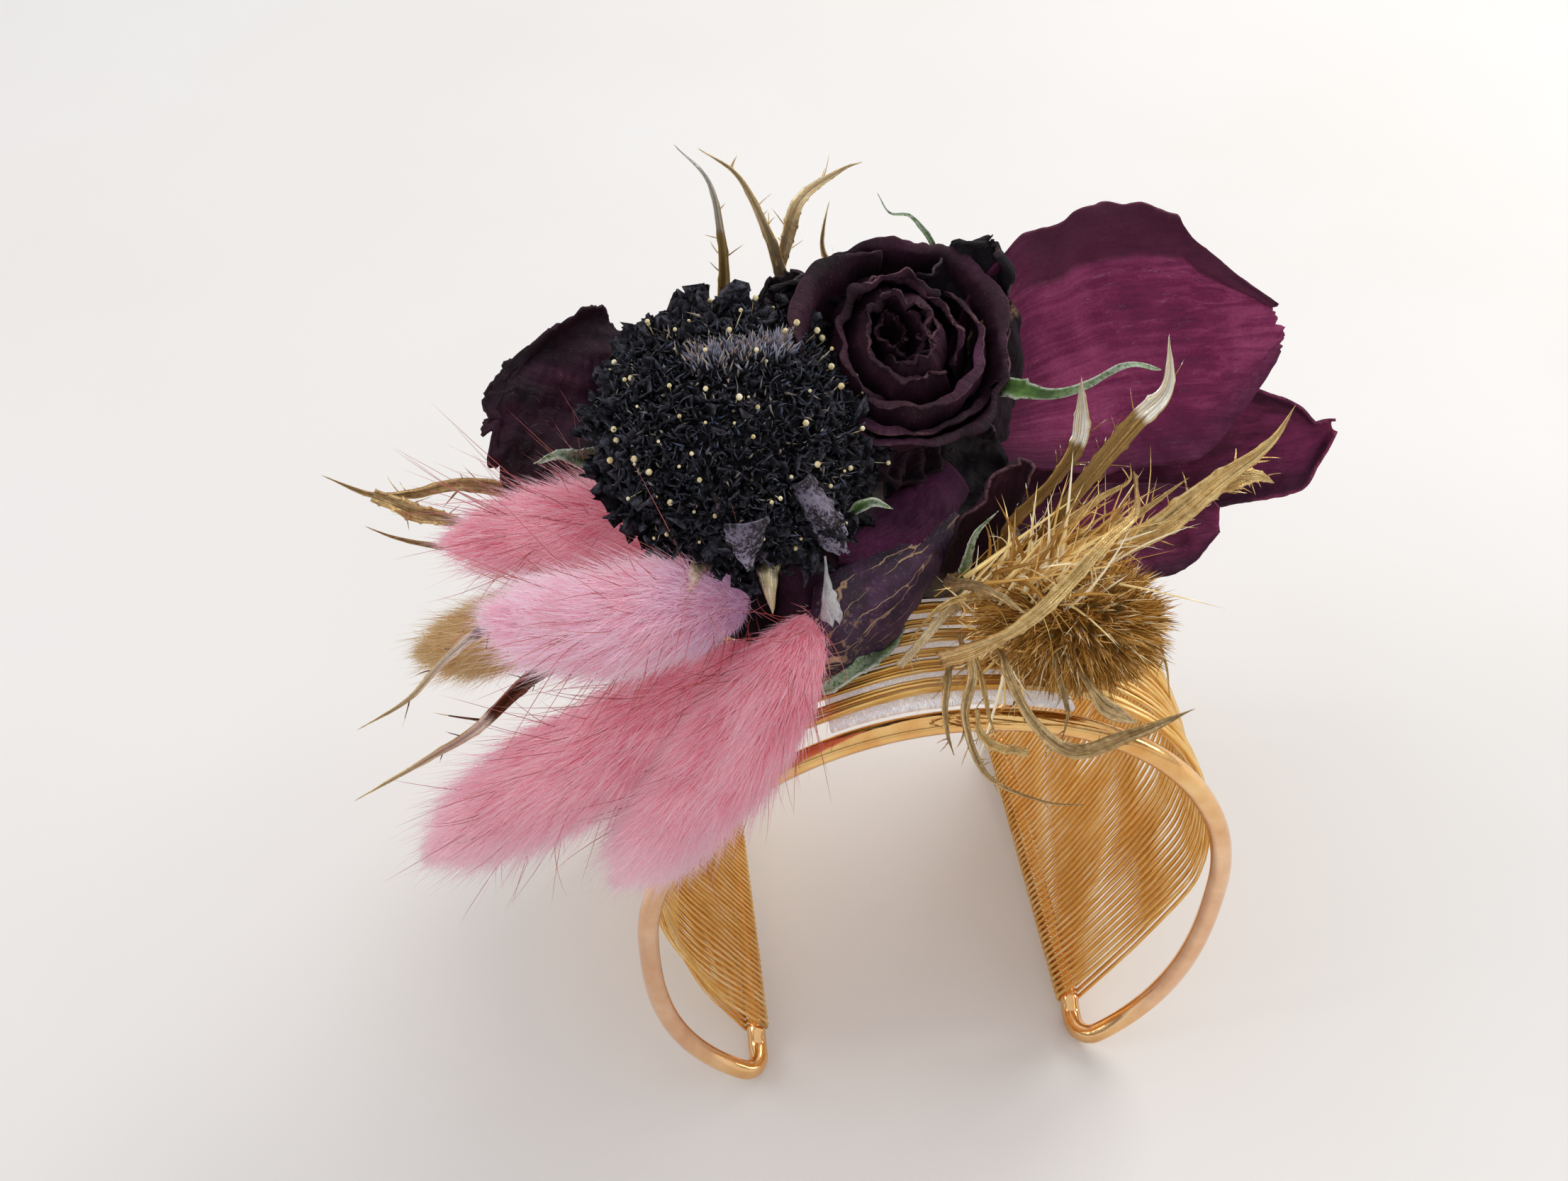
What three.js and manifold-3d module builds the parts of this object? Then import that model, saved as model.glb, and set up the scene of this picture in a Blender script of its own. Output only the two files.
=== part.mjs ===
// A wrist corsage: a posy of dried flowers and gilded thistle, glued to the crown of an open
// cuff of wound gold wire. Lengths are in millimetres and +Z is up. The cuff opens downwards
// and stands on its two end rails, the wrist goes through it along Y, and -Y is the front.
// The origin is on the table, under the middle of the whole piece.
import * as THREE from 'three';
import { mergeVertices } from 'three/addons/utils/BufferGeometryUtils.js';
import Module from 'manifold-3d';

const wasm = await Module();
wasm.setup();

// Driving sizes of the cuff
const cuffWidth = 61; // between the middles of the round rails, at the widest
const cuffHeight = 59; // from the end rails up to the crown, middle to middle
const cuffDepth = 52; // from the front rail to the rear rail, middle to middle
const mouthWidth = 37.8; // between the middles of the two end rails
const frameWire = 2.4; // thickness of the heavy wire
const cornerBend = 2.6; // bend between a round rail and an end rail
const footLength = 1.3; // straight stretch of an end rail that lies on the table
const footRamp = 1.3; // stretch over which the end rail then lifts clear of it

// Driving sizes of the wound wire
const windingWire = 0.7; // thickness of the fine wire
const passCount = 24; // times that the wire crosses the crown
const strandRise = 1.6; // how far the strands lie outside the rails at the crown
const strandTuck = 1.4; // how far they lie inside the rails at the widest place
const tableGap = 0.1; // between the turns under an end rail and the table

// Driving sizes of the pad, the glue and the seats between pieces
const padLength = 24; // round the crown
const padThickness = 1;
const glueWidth = 30;
const glueDepth = 22;
const glueRise = 8; // height of the glue above the strands
const seatGap = 0.3; // between a piece and what carries it
const weldShare = 1 / 3000; // of the seat gap: corners closer than this are one corner
const flattenShare = 0.3; // of the seat gap: how far a cut face may be evened out

// Driving sizes of the posy. Places of its pieces are shares of the span, measured from the
// crown of the rails, so the whole posy follows the cuff and the span.
const posySpan = 100; // from the left blade tips to the tip of the right petal
const stalkThickness = 1.3;
const petalThickness = 0.6;
const bladeThickness = 0.7;
const largePetalWidth = 29; // of the large plum petal: the other petals have shares of it
const bladeWidth = 3.6; // of the widest gilded blade: other blades and sepals have shares of it
const scabiosaWidth = 26.4;
const roseWidth = 20.6;
const roseHeight = 11;
const tailWidth = 12; // the plump part of a pink grass tail
const goldTailWidth = 10.5;
const thistleLength = 19.5; // along its long way, with bristles
const thistleWidth = 14.6; // across, with bristles
const bristleLength = 3;

const frameSides = 8;
const windingSides = 5;
const strandSteps = 5; // straight steps of a strand from the crown to the widest place

const finishes = {
  roseGold: { color: 0xd9a27c, roughness: 0.22, metalness: 1 },
  gold: { color: 0xd8a650, roughness: 0.3, metalness: 1 },
  felt: { color: 0xe4dfe6, roughness: 0.9, metalness: 0 },
  glue: { color: 0xcfc6b4, roughness: 0.45, metalness: 0 },
  blackFloret: { color: 0x17161f, roughness: 0.85, metalness: 0 },
  aubergine: { color: 0x2c1226, roughness: 0.75, metalness: 0 },
  plum: { color: 0x6b1b45, roughness: 0.7, metalness: 0 },
  pinkFur: { color: 0xe08b9d, roughness: 0.95, metalness: 0 },
  goldFur: { color: 0x9a7434, roughness: 0.7, metalness: 0.3 },
  gilt: { color: 0xb89452, roughness: 0.4, metalness: 0.8 },
  sepal: { color: 0x5c6b45, roughness: 0.8, metalness: 0 },
  silver: { color: 0xc9c5c8, roughness: 0.5, metalness: 0.4 },
  stalk: { color: 0x6f6a3d, roughness: 0.85, metalness: 0 },
};

const vec = (x, y, z) => new THREE.Vector3(x, y, z);
const mix = (a, b, share) => a + (b - a) * share;
const ease = (share) => share * share * (3 - 2 * share);
const spot = ([x, y, z]) => vec(x, y, z).multiplyScalar(posySpan);

// Solids: a geometry becomes a solid that can be joined and cut, and a solid a geometry again
function solidOf(geometry) {
  const bare = geometry.clone();
  bare.deleteAttribute('normal');
  bare.deleteAttribute('uv');
  const merged = mergeVertices(bare, seatGap * weldShare);
  const corners = merged.index.array;
  const kept = [];
  for (let i = 0; i < corners.length; i += 3) {
    const [a, b, c] = [corners[i], corners[i + 1], corners[i + 2]];
    if (a !== b && b !== c && c !== a) kept.push(a, b, c);
  }
  const vertProperties = new Float32Array(merged.attributes.position.array);
  const mesh = new wasm.Mesh({ numProp: 3, vertProperties, triVerts: new Uint32Array(kept) });
  return new wasm.Manifold(mesh);
}

function geometryOf(solid) {
  const mesh = solid.getMesh();
  const geometry = new THREE.BufferGeometry();
  geometry.setAttribute('position', new THREE.BufferAttribute(mesh.vertProperties, 3));
  geometry.setIndex(new THREE.BufferAttribute(mesh.triVerts, 1));
  geometry.computeVertexNormals();
  return geometry;
}

// A skin over a row of rings with equal counts of points. A closed row joins its last ring to
// its first; an open one has a lid at each end, made of strips across the ring.
function skin(rings, closed = false) {
  const count = rings[0].length;
  const faces = [];
  const last = closed ? rings.length : rings.length - 1;
  for (let i = 0; i < last; i += 1) {
    const here = i * count;
    const next = ((i + 1) % rings.length) * count;
    for (let k = 0; k < count; k += 1) {
      const k2 = (k + 1) % count;
      faces.push(here + k, here + k2, next + k2, here + k, next + k2, next + k);
    }
  }
  if (!closed) {
    const end = (rings.length - 1) * count;
    for (let low = 0, high = count - 1; low < high; low += 1, high -= 1) {
      if (low + 1 < high) {
        faces.push(low, high, low + 1, end + low, end + low + 1, end + high);
      }
      if (low + 1 < high - 1) {
        faces.push(low + 1, high, high - 1, end + low + 1, end + high - 1, end + high);
      }
    }
  }
  const geometry = new THREE.BufferGeometry().setFromPoints(rings.flat());
  geometry.setIndex(faces);
  if (volumeOf(geometry) < 0) geometry.setIndex(faces.reverse());
  return geometry;
}

function volumeOf(geometry) {
  const place = geometry.attributes.position;
  const corners = geometry.index.array;
  let volume = 0;
  for (let i = 0; i < corners.length; i += 3) {
    const [a, b, c] = [0, 1, 2].map((k) => vec(0, 0, 0).fromBufferAttribute(place, corners[i + k]));
    volume += a.dot(b.cross(c)) / 6;
  }
  return volume;
}

// Directions along a row of points
function tangentsOf(points, closed = false) {
  const n = points.length;
  return points.map((_, i) => {
    const before = closed ? points[(i + n - 1) % n] : points[Math.max(i - 1, 0)];
    const after = closed ? points[(i + 1) % n] : points[Math.min(i + 1, n - 1)];
    return after.clone().sub(before).normalize();
  });
}

// A ring square to a direction, with a flat side towards "out"
function ringAt(centre, direction, out, width, height, sides) {
  const side = direction.clone().cross(out).normalize();
  const up = side.clone().cross(direction).normalize();
  return Array.from({ length: sides }, (_, k) => {
    const turn = ((k + 0.5) / sides) * 2 * Math.PI;
    return centre.clone().addScaledVector(up, height * Math.cos(turn))
      .addScaledVector(side, width * Math.sin(turn));
  });
}

// A rod of changing thickness along points, with frames carried along so that it never twists
function rod(points, radii, sides) {
  const directions = tangentsOf(points);
  const steepShare = 0.8;
  const seed = Math.abs(directions[0].z) > steepShare ? vec(0, 1, 0) : vec(0, 0, 1);
  let out = seed.addScaledVector(directions[0], -seed.dot(directions[0])).normalize();
  const rings = points.map((point, i) => {
    out = out.clone().addScaledVector(directions[i], -out.dot(directions[i])).normalize();
    return ringAt(point, directions[i], out, radii[i], radii[i], sides);
  });
  return skin(rings);
}

// A smooth row of points through a few chosen ones
const smooth = (points, steps) => new THREE.CatmullRomCurve3(points).getPoints(steps);
const evenly = (points, steps) => new THREE.CatmullRomCurve3(points).getSpacedPoints(steps);

// The cuff: each round rail is a half circle above its widest place and a squarer curve below
const footZ = (frameWire / 2) * Math.cos(Math.PI / frameSides); // middle of a wire on the table
const crownZ = footZ + cuffHeight;
const beltZ = crownZ - cuffWidth / 2;
const legPower = 2.6;
const footAngle = Math.PI - Math.asin((mouthWidth / cuffWidth) ** (legPower / 2));
const legDrop = (beltZ - footZ) / Math.abs(Math.cos(footAngle)) ** (2 / legPower);

function railPoint(angle) {
  const half = cuffWidth / 2;
  if (angle <= Math.PI / 2) return vec(half * Math.sin(angle), 0, beltZ + half * Math.cos(angle));
  const share = 2 / legPower;
  return vec(half * Math.sin(angle) ** share, 0, beltZ - legDrop * Math.abs(Math.cos(angle)) ** share);
}

const turnsRadius = frameWire / 2 + seatGap + windingWire / 2; // of the fine wire round an end rail
const railLift = turnsRadius + windingWire / 2 + tableGap - footZ; // of an end rail between its feet

// A quarter of the frame loop, from the crown to the middle of an end rail. "out" is where the
// flat side of the wire faces: away from the cuff on the round rail, down on the end rail.
function frameQuarter() {
  const front = -cuffDepth / 2;
  const [curveSteps, arcSteps, railSteps, bendSteps] = [60, 44, 13, 4];
  const curve = Array.from({ length: curveSteps + 1 }, (_, i) => railPoint((i / curveSteps) * footAngle));
  const arc = evenly(curve, arcSteps);
  const foot = arc[arc.length - 1].clone();
  const slope = foot.clone().sub(arc[arc.length - 2]).normalize();
  const rail = evenly(arc.filter((point) => point.distanceTo(foot) > cornerBend), railSteps);
  const footOut = vec(-slope.z, 0, slope.x);
  const along = vec(0, 1, 0);
  const down = vec(0, 0, -1);
  const footTwist = Math.atan2(down.dot(along.clone().cross(footOut)), down.dot(footOut));
  const twisted = (out, direction, twist) => out.clone().multiplyScalar(Math.cos(twist))
    .addScaledVector(direction.clone().cross(out), Math.sin(twist));
  const directions = tangentsOf(rail);
  directions[0] = vec(1, 0, 0);
  const stations = rail.map((point, i) => {
    const direction = directions[i];
    const out = vec(-direction.z, 0, direction.x);
    const twist = footTwist * ease(Math.max(0, 2 * (i / (rail.length - 1)) - 1));
    return { point: point.clone().setY(front), out: twisted(out, direction, twist) };
  });
  for (let i = 1; i <= bendSteps; i += 1) {
    const turn = (i / bendSteps) * (Math.PI / 2);
    const point = foot.clone().setY(front).addScaledVector(slope, -cornerBend * (1 - Math.sin(turn)))
      .addScaledVector(along, cornerBend * (1 - Math.cos(turn)));
    const direction = slope.clone().multiplyScalar(Math.cos(turn)).addScaledVector(along, Math.sin(turn));
    stations.push({ point, out: twisted(footOut, direction, footTwist), flat: i === bendSteps });
  }
  const railStart = front + cornerBend;
  const lifts = [[footLength, 0], [footLength + footRamp / 2, railLift / 2],
    [footLength + footRamp, railLift], [cuffDepth / 2 - cornerBend, railLift]];
  for (const [reach, lift] of lifts) {
    stations.push({ point: vec(foot.x, railStart + reach, foot.z + lift), out: down, flat: !lift });
  }
  return stations;
}

function frameWireShape() {
  const quarter = frameQuarter();
  const mirrored = (x, y) => quarter.map(({ point, out, flat }) => (
    { point: vec(point.x * x, point.y * y, point.z), out: vec(out.x * x, out.y * y, out.z), flat }));
  const loop = [mirrored(1, 1).slice(0, -1), mirrored(1, -1).reverse().slice(0, -1),
    mirrored(-1, -1).slice(0, -1), mirrored(-1, 1).reverse().slice(0, -1)].flat();
  const points = loop.map(({ point }) => point);
  const directions = tangentsOf(points, true).map((direction, i) => (
    loop[i].flat ? vec(0, Math.sign(direction.y), 0) : direction));
  const radius = frameWire / 2;
  const rings = loop.map(({ point, out }, i) => (
    ringAt(point, directions[i], out, radius, radius, frameSides)));
  return skin(rings, true);
}

// The winding: one wire that runs over the crown, goes half round an end rail and comes back
const strandTopRadius = cuffWidth / 2 + strandRise;
const strandBeltRadius = cuffWidth / 2 - strandTuck;
const standOffShare = 2.3; // of the fine wire: from the rail to the outermost pass
const windingReach = cuffDepth / 2 - frameWire / 2 - windingWire * standOffShare;
const passPitch = (2 * windingReach) / (passCount - 1);
const footReach = cuffDepth / 2 - cornerBend - footLength - footRamp; // where the lifted rail begins
const gatherShare = 0.05; // how much closer the passes lie at the crown
const tuckPower = 2.2;
const legBendShare = 0.74; // height of the bend of a leg, of the height of the widest place

// One side of a pass, from the crown to where it meets the end rail: outside it, or inside it
function strandSide(y, facing) {
  const railMiddle = vec(mouthWidth / 2, 0, footZ + railLift);
  const bend = vec(strandBeltRadius, 0, beltZ * legBendShare);
  const run = bend.clone().sub(railMiddle).normalize();
  const outwards = vec(run.z, 0, -run.x);
  const end = railMiddle.clone().addScaledVector(outwards, facing * turnsRadius);
  const legSteps = 3;
  const points = [];
  for (let i = 0; i < strandSteps; i += 1) {
    const share = i / strandSteps;
    const angle = share * (Math.PI / 2);
    const radius = mix(strandTopRadius, strandBeltRadius, share ** tuckPower);
    const gathered = y * (1 - gatherShare * (1 - share));
    points.push(vec(radius * Math.sin(angle), gathered, beltZ + radius * Math.cos(angle)));
  }
  const belt = vec(strandBeltRadius, 0, beltZ);
  const leg = new THREE.QuadraticBezierCurve3(belt, bend, end).getPoints(legSteps);
  const footY = y * (footReach / windingReach);
  points.push(...leg.map((point, i) => point.setY(mix(y, footY, i / legSteps))));
  return { points, outwards, railMiddle };
}

function windingPath() {
  const path = [];
  const turnSteps = 4;
  for (let pass = 0; pass < passCount; pass += 1) {
    const towards = pass % 2 ? -1 : 1; // sideways direction of this pass
    const y = pass * passPitch - windingReach;
    const footY = y * (footReach / windingReach);
    const footPitch = passPitch * (footReach / windingReach);
    const { points: start } = strandSide(y, -1);
    const { points: arriving, outwards, railMiddle } = strandSide(y, 1);
    const leaving = start.slice(1).reverse().map((point) => point.setX(-point.x));
    path.push(...[...leaving, ...arriving].map((point) => point.setX(point.x * towards)));
    if (pass === passCount - 1) break;
    for (let i = 1; i < turnSteps; i += 1) {
      const turn = -(i / turnSteps) * Math.PI;
      const arm = outwards.clone().applyAxisAngle(vec(0, 1, 0), -turn).multiplyScalar(turnsRadius);
      const point = railMiddle.clone().add(arm).setY(footY + (i / turnSteps) * footPitch);
      path.push(point.setX(point.x * towards));
    }
  }
  return path;
}

// Least gap of the wire to itself, over points that are further apart along it than a turn
function leastGap(path, thickness) {
  const stepShares = [0, 0.25, 0.5, 0.75];
  const turnShare = 0.9;
  const points = path.flatMap((point, i) => {
    const next = path[i + 1] ?? point;
    return stepShares.map((share) => point.clone().lerp(next, share));
  });
  const travelled = [0];
  points.forEach((point, i) => i && travelled.push(travelled[i - 1] + point.distanceTo(points[i - 1])));
  let least = Infinity;
  for (let i = 0; i < points.length; i += 1) {
    for (let j = i + 1; j < points.length; j += 1) {
      const apart = travelled[j] - travelled[i] > Math.PI * turnsRadius * turnShare;
      if (apart) least = Math.min(least, points[i].distanceTo(points[j]));
    }
  }
  return least - thickness;
}

function windingShape() {
  const path = windingPath();
  console.log(`least gap of the winding to itself: ${leastGap(path, windingWire).toFixed(2)} mm`);
  return rod(path, path.map(() => windingWire / 2), windingSides);
}

// The pad lies under the strands round the crown, between the two rails
function padShape() {
  const strandInside = strandTopRadius * Math.cos(Math.PI / 4 / strandSteps) - windingWire / 2;
  const outer = strandInside - seatGap;
  const halfAngle = padLength / 2 / outer;
  const halfDepth = cuffDepth / 2 - frameWire / 2 - seatGap - seatGap;
  const steps = 8;
  const rings = Array.from({ length: steps + 1 }, (_, i) => {
    const angle = mix(-halfAngle, halfAngle, i / steps);
    const [x, z] = [Math.sin(angle), Math.cos(angle)];
    return [[outer, -1], [outer, 1], [outer - padThickness, 1], [outer - padThickness, -1]].map(
      ([radius, side]) => vec(radius * x, side * halfDepth, beltZ + radius * z),
    );
  });
  return skin(rings);
}

// Shapes of the posy. Each takes "grow", which fattens it on every side, so that a piece can be
// cut back from its neighbour by one clearance.

// A turned body on an axis from foot to top, with ripples round it
function turned(body, grow) {
  const { foot, top, width, profileShares, segments = 12, ripples = 0, rippleShare = 0 } = body;
  const rippleTwist = 3 * Math.PI;
  const axis = top.clone().sub(foot);
  const length = axis.length();
  const plain = profileShares.map(([high, wide]) => new THREE.Vector2((wide * width) / 2, high * length));
  const outline = plain.map((point, i) => {
    const run = (plain[i + 1] ?? point).clone().sub(plain[i - 1] ?? point).normalize();
    const onAxis = i === 0 || i === plain.length - 1;
    return new THREE.Vector2(onAxis ? 0 : point.x + run.y * grow, point.y - run.x * grow);
  });
  const geometry = mergeVertices(bareOf(new THREE.LatheGeometry(outline, segments)), seatGap * weldShare);
  const place = geometry.attributes.position;
  for (let i = 0; i < place.count; i += 1) {
    const turn = Math.atan2(place.getZ(i), place.getX(i));
    const swell = 1 + rippleShare * Math.sin(ripples * turn + (place.getY(i) / length) * rippleTwist);
    place.setXYZ(i, place.getX(i) * swell, place.getY(i), place.getZ(i) * swell);
  }
  const lean = new THREE.Quaternion().setFromUnitVectors(vec(0, 1, 0), axis.normalize());
  return solidOf(geometry.applyQuaternion(lean).translate(foot.x, foot.y, foot.z));
}

function bareOf(geometry) {
  geometry.deleteAttribute('normal');
  geometry.deleteAttribute('uv');
  return geometry;
}

// A plain round stalk through points
function stalk(points, thickness, grow) {
  const radius = thickness / 2 + grow;
  const [sides, steps] = [6, 6];
  const section = new THREE.Shape(Array.from({ length: sides }, (_, k) => {
    const turn = (k / sides) * 2 * Math.PI;
    return new THREE.Vector2(radius * Math.cos(turn), radius * Math.sin(turn));
  }));
  const extrudePath = new THREE.CatmullRomCurve3(points);
  return solidOf(new THREE.ExtrudeGeometry(section, { steps, bevelEnabled: false, extrudePath }));
}

// A plump grass tail with its stalk: thin from the glue to the head, then swelling to its tip
function tail({ route, width, plumpShares }, grow) {
  const sides = 8;
  const points = evenly(route, plumpShares.length - 1);
  const radii = plumpShares.map((share) => Math.max((share * width) / 2, stalkThickness / 2) + grow);
  return solidOf(rod(points, radii, sides));
}

// A petal: a cupped leaf from base to tip that faces "face". Its outline is widest at
// "widestShare" of its length, "cup" lifts its two sides and "wave" ruffles its rim.
function petal(size, grow) {
  const { base, tip, face, width, widestShare = 0.6, squareness = 2.4, longSteps = 5 } = size;
  const { cup = 0.2, bow = 0, wave = 0, waves = 3, crossSteps = 3 } = size;
  const endShare = 0.14; // of the width, at the base and the tip
  const levelShare = 0.4; // of the cup, which lies behind the middle plane
  const along = tip.clone().sub(base);
  const length = along.length();
  const side = along.clone().cross(face).normalize();
  const up = side.clone().cross(along).normalize();
  const power = Math.log(0.5) / Math.log(widestShare);
  const rings = Array.from({ length: longSteps + 1 }, (_, i) => {
    const u = i / longSteps;
    const round = (1 - Math.abs(2 * u ** power - 1) ** squareness) ** (1 / squareness);
    const half = Math.max(round, endShare) * (width / 2);
    const reach = u * length + (i === 0 ? -grow : 0) + (i === longSteps ? grow : 0);
    const row = (lift) => Array.from({ length: crossSteps + 1 }, (_unused, j) => {
      const v = ((j / crossSteps) * 2 - 1) * (1 + grow / half);
      const ruffle = wave * u * Math.abs(v) * Math.sin(waves * Math.PI * (u + v / 2)) * width;
      const rise = cup * (v * v - levelShare) * half + bow * Math.sin(Math.PI * u) * length + ruffle + lift;
      return base.clone().addScaledVector(along, reach / length).addScaledVector(side, v * half)
        .addScaledVector(up, rise);
    });
    const halfThick = petalThickness / 2 + grow;
    return [...row(halfThick), ...row(-halfThick).reverse()];
  });
  return solidOf(skin(rings));
}

// A flat spiny blade through points: widest near its root, drawn out to a point, with spines
function blade({ route, width, face, tipShare = 0.12, rootShare = 0.7, spines = [] }, grow) {
  const steps = 7;
  const bellyShare = 0.35; // of the length, where the blade is widest
  const [spineRootShare, spineTipShare, spineLean, taperPower, edgeShare] = [0.8, 0.28, 0.9, 1.3, 0.5];
  const points = smooth(route, steps);
  const directions = tangentsOf(points);
  const swell = (share) => (share < bellyShare
    ? mix(rootShare, 1, ease(share / bellyShare))
    : mix(1, tipShare, ((share - bellyShare) / (1 - bellyShare)) ** taperPower));
  const rings = points.map((point, i) => {
    const share = swell(i / steps);
    const half = (width / 2) * share + grow;
    const thick = (bladeThickness / 2) * mix(edgeShare, 1, share) + grow;
    const side = directions[i].clone().cross(face).normalize();
    const up = side.clone().cross(directions[i]).normalize();
    return [[1, 0], [0, 1], [-1, 0], [0, -1]].map(([a, b]) => point.clone()
      .addScaledVector(side, a * half).addScaledVector(up, b * thick));
  });
  let solid = solidOf(skin(rings));
  for (const [place, way, reach] of spines) {
    const i = Math.round(place * steps);
    const side = directions[i].clone().cross(face).normalize().multiplyScalar(Math.sign(way));
    const aim = directions[i].clone().multiplyScalar(spineLean).add(side).normalize();
    const tip = points[i].clone().addScaledVector(aim, width * reach);
    const root = points[i].clone().addScaledVector(aim, -bladeThickness / 2);
    const radii = [spineRootShare, spineTipShare].map((part) => (bladeThickness / 2) * part + grow);
    solid = solid.add(solidOf(rod([root, tip], radii, 4)));
  }
  return solid;
}

// The posy's pieces, in the order in which they hold the space that two of them would share
const pieces = [];
const addPiece = (name, finish, shape) => pieces.push({ name, finish, shape });

// Where stems end, in the glue on the crown
const glueRootShares = {
  middle: [0, -0.01, 0.035],
  left: [-0.08, -0.03, 0.03],
  right: [0.06, -0.04, 0.03],
};

// Scabiosa: a domed head of packed florets that leans to the front and right
const scabiosaFootShares = [-0.2, -0.046, 0.165];
const scabiosaLean = vec(0.24, -0.48, 0.84).normalize();

// A place on the flower's axis, as a share of its width above its foot
const scabiosaAt = (share) => spot(scabiosaFootShares).addScaledVector(scabiosaLean, share * scabiosaWidth);

function scabiosaHead(grow) {
  const [footShare, topShare] = [0.04, 0.44];
  return turned({
    foot: scabiosaAt(footShare),
    top: scabiosaAt(topShare),
    width: scabiosaWidth,
    profileShares: [[0, 0], [0.02, 0.5], [0.22, 0.86], [0.45, 0.93], [0.68, 0.78], [0.88, 0.5], [1, 0]],
    segments: 16,
    ripples: 5,
    rippleShare: 0.03,
  }, grow);
}

function scabiosaFrill(grow) {
  const [footShare, topShare] = [-0.02, 0.2];
  return turned({
    foot: scabiosaAt(footShare),
    top: scabiosaAt(topShare),
    width: scabiosaWidth,
    profileShares: [[0, 0], [0.1, 0.3], [0.45, 0.82], [0.75, 1.02], [1, 1.06], [0.95, 0.8], [0.7, 0]],
    segments: 14,
    ripples: 5,
    rippleShare: 0.05,
  }, grow);
}

function scabiosaStem(grow) {
  const [topShare, neckShare, thickShare] = [0, -0.12, 1.2];
  const bendShares = [-0.19, -0.02, 0.09];
  const route = [scabiosaAt(topShare), scabiosaAt(neckShare), spot(bendShares), spot(glueRootShares.left)];
  return stalk(route, stalkThickness * thickShare, grow);
}

// Rose: petals are bowls round an axis that points at the viewer, each a part turn of a spiral
const roseFootShares = [-0.022, 0.047, 0.186];
const roseLean = vec(0, -0.7, 0.714).normalize();

function bowlPetal({ foot, lean, radius, height, drop, start, span, flare, tuck }, grow) {
  const lift = new THREE.Quaternion().setFromUnitVectors(vec(0, 0, 1), lean);
  const [longSteps, crossSteps] = [4, 5];
  const [footShare, swellShare, dipShare, flarePower] = [0.3, 1.35, 0.12, 4];
  const thick = petalThickness / 2 + grow;
  const rings = Array.from({ length: longSteps + 1 }, (_, i) => {
    const u = i / longSteps;
    const round = Math.sin(Math.min(1, u * swellShare) * (Math.PI / 2));
    const bowl = mix(footShare, 1, round) + flare * u ** flarePower;
    const high = mix(-drop, height, u) + (i === 0 ? -grow : 0) + (i === longSteps ? grow : 0);
    const row = (side) => Array.from({ length: crossSteps + 1 }, (_unused, j) => {
      const v = j / crossSteps;
      const turn = start + (v - 0.5) * span + ((v - 0.5) * 2 * grow) / radius;
      const dip = -height * dipShare * (2 * v - 1) ** 2 * u * u;
      const out = radius * bowl + (v - 0.5) * 2 * tuck + side * thick;
      return vec(out * Math.cos(turn), out * Math.sin(turn), high + dip).applyQuaternion(lift).add(foot);
    });
    return [...row(1), ...row(-1).reverse()];
  });
  return solidOf(skin(rings));
}

const rosePetals = [
  { radiusShare: 0.43, startTurn: 0.1, spanTurn: 0.58, flare: 0 },
  { radiusShare: 0.5, startTurn: 0.62, spanTurn: 0.56, flare: 0 },
  { radiusShare: 0.66, startTurn: 0.36, spanTurn: 0.55, flare: 0.04 },
  { radiusShare: 0.72, startTurn: 0.88, spanTurn: 0.53, flare: 0.06 },
  { radiusShare: 0.88, startTurn: 0.14, spanTurn: 0.37, flare: 0.12 },
  { radiusShare: 0.88, startTurn: 0.48, spanTurn: 0.37, flare: 0.14 },
  { radiusShare: 0.88, startTurn: 0.81, spanTurn: 0.37, flare: 0.1 },
];

function roseCore(grow) {
  const foot = spot(roseFootShares);
  const [highShare, wideShare] = [0.94, 0.32];
  const top = foot.clone().addScaledVector(roseLean, roseHeight * highShare);
  const profileShares = [[0, 0], [0.03, 0.16], [0.3, 0.86], [0.6, 1], [0.88, 0.72], [0.94, 0.4], [0.8, 0]];
  return turned({ foot, top, width: roseWidth * wideShare, profileShares, segments: 10 }, grow);
}

function rosePetal(index, grow) {
  const { radiusShare, startTurn, spanTurn, flare } = rosePetals[index];
  const [outerHeightShare, dropShare, tuckShare] = [0.86, 4.4, 0.8];
  return bowlPetal({
    foot: spot(roseFootShares),
    lean: roseLean,
    radius: (roseWidth / 2) * radiusShare,
    height: roseHeight * mix(1, outerHeightShare, radiusShare),
    drop: petalThickness * dropShare * radiusShare,
    start: startTurn * 2 * Math.PI,
    span: spanTurn * 2 * Math.PI,
    flare,
    tuck: petalThickness * tuckShare,
  }, grow);
}

function roseHip(grow) {
  const at = (share) => spot(roseFootShares).addScaledVector(roseLean, share * roseHeight);
  const [cupFootShare, cupTopShare, wideShare] = [-0.62, -0.26, 0.34];
  const [stalkTopShare, neckShare, thickShare] = [-0.5, -0.8, 1.3];
  const bendShares = [-0.018, 0.085, 0.08];
  const cup = turned({
    foot: at(cupFootShare),
    top: at(cupTopShare),
    width: roseWidth * wideShare,
    profileShares: [[0, 0], [0.1, 0.35], [0.45, 1], [0.8, 0.95], [1, 0]],
    segments: 8,
  }, grow);
  const route = [at(stalkTopShare), at(neckShare), spot(bendShares), spot(glueRootShares.middle)];
  return cup.add(stalk(route, stalkThickness * thickShare, grow));
}

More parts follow.
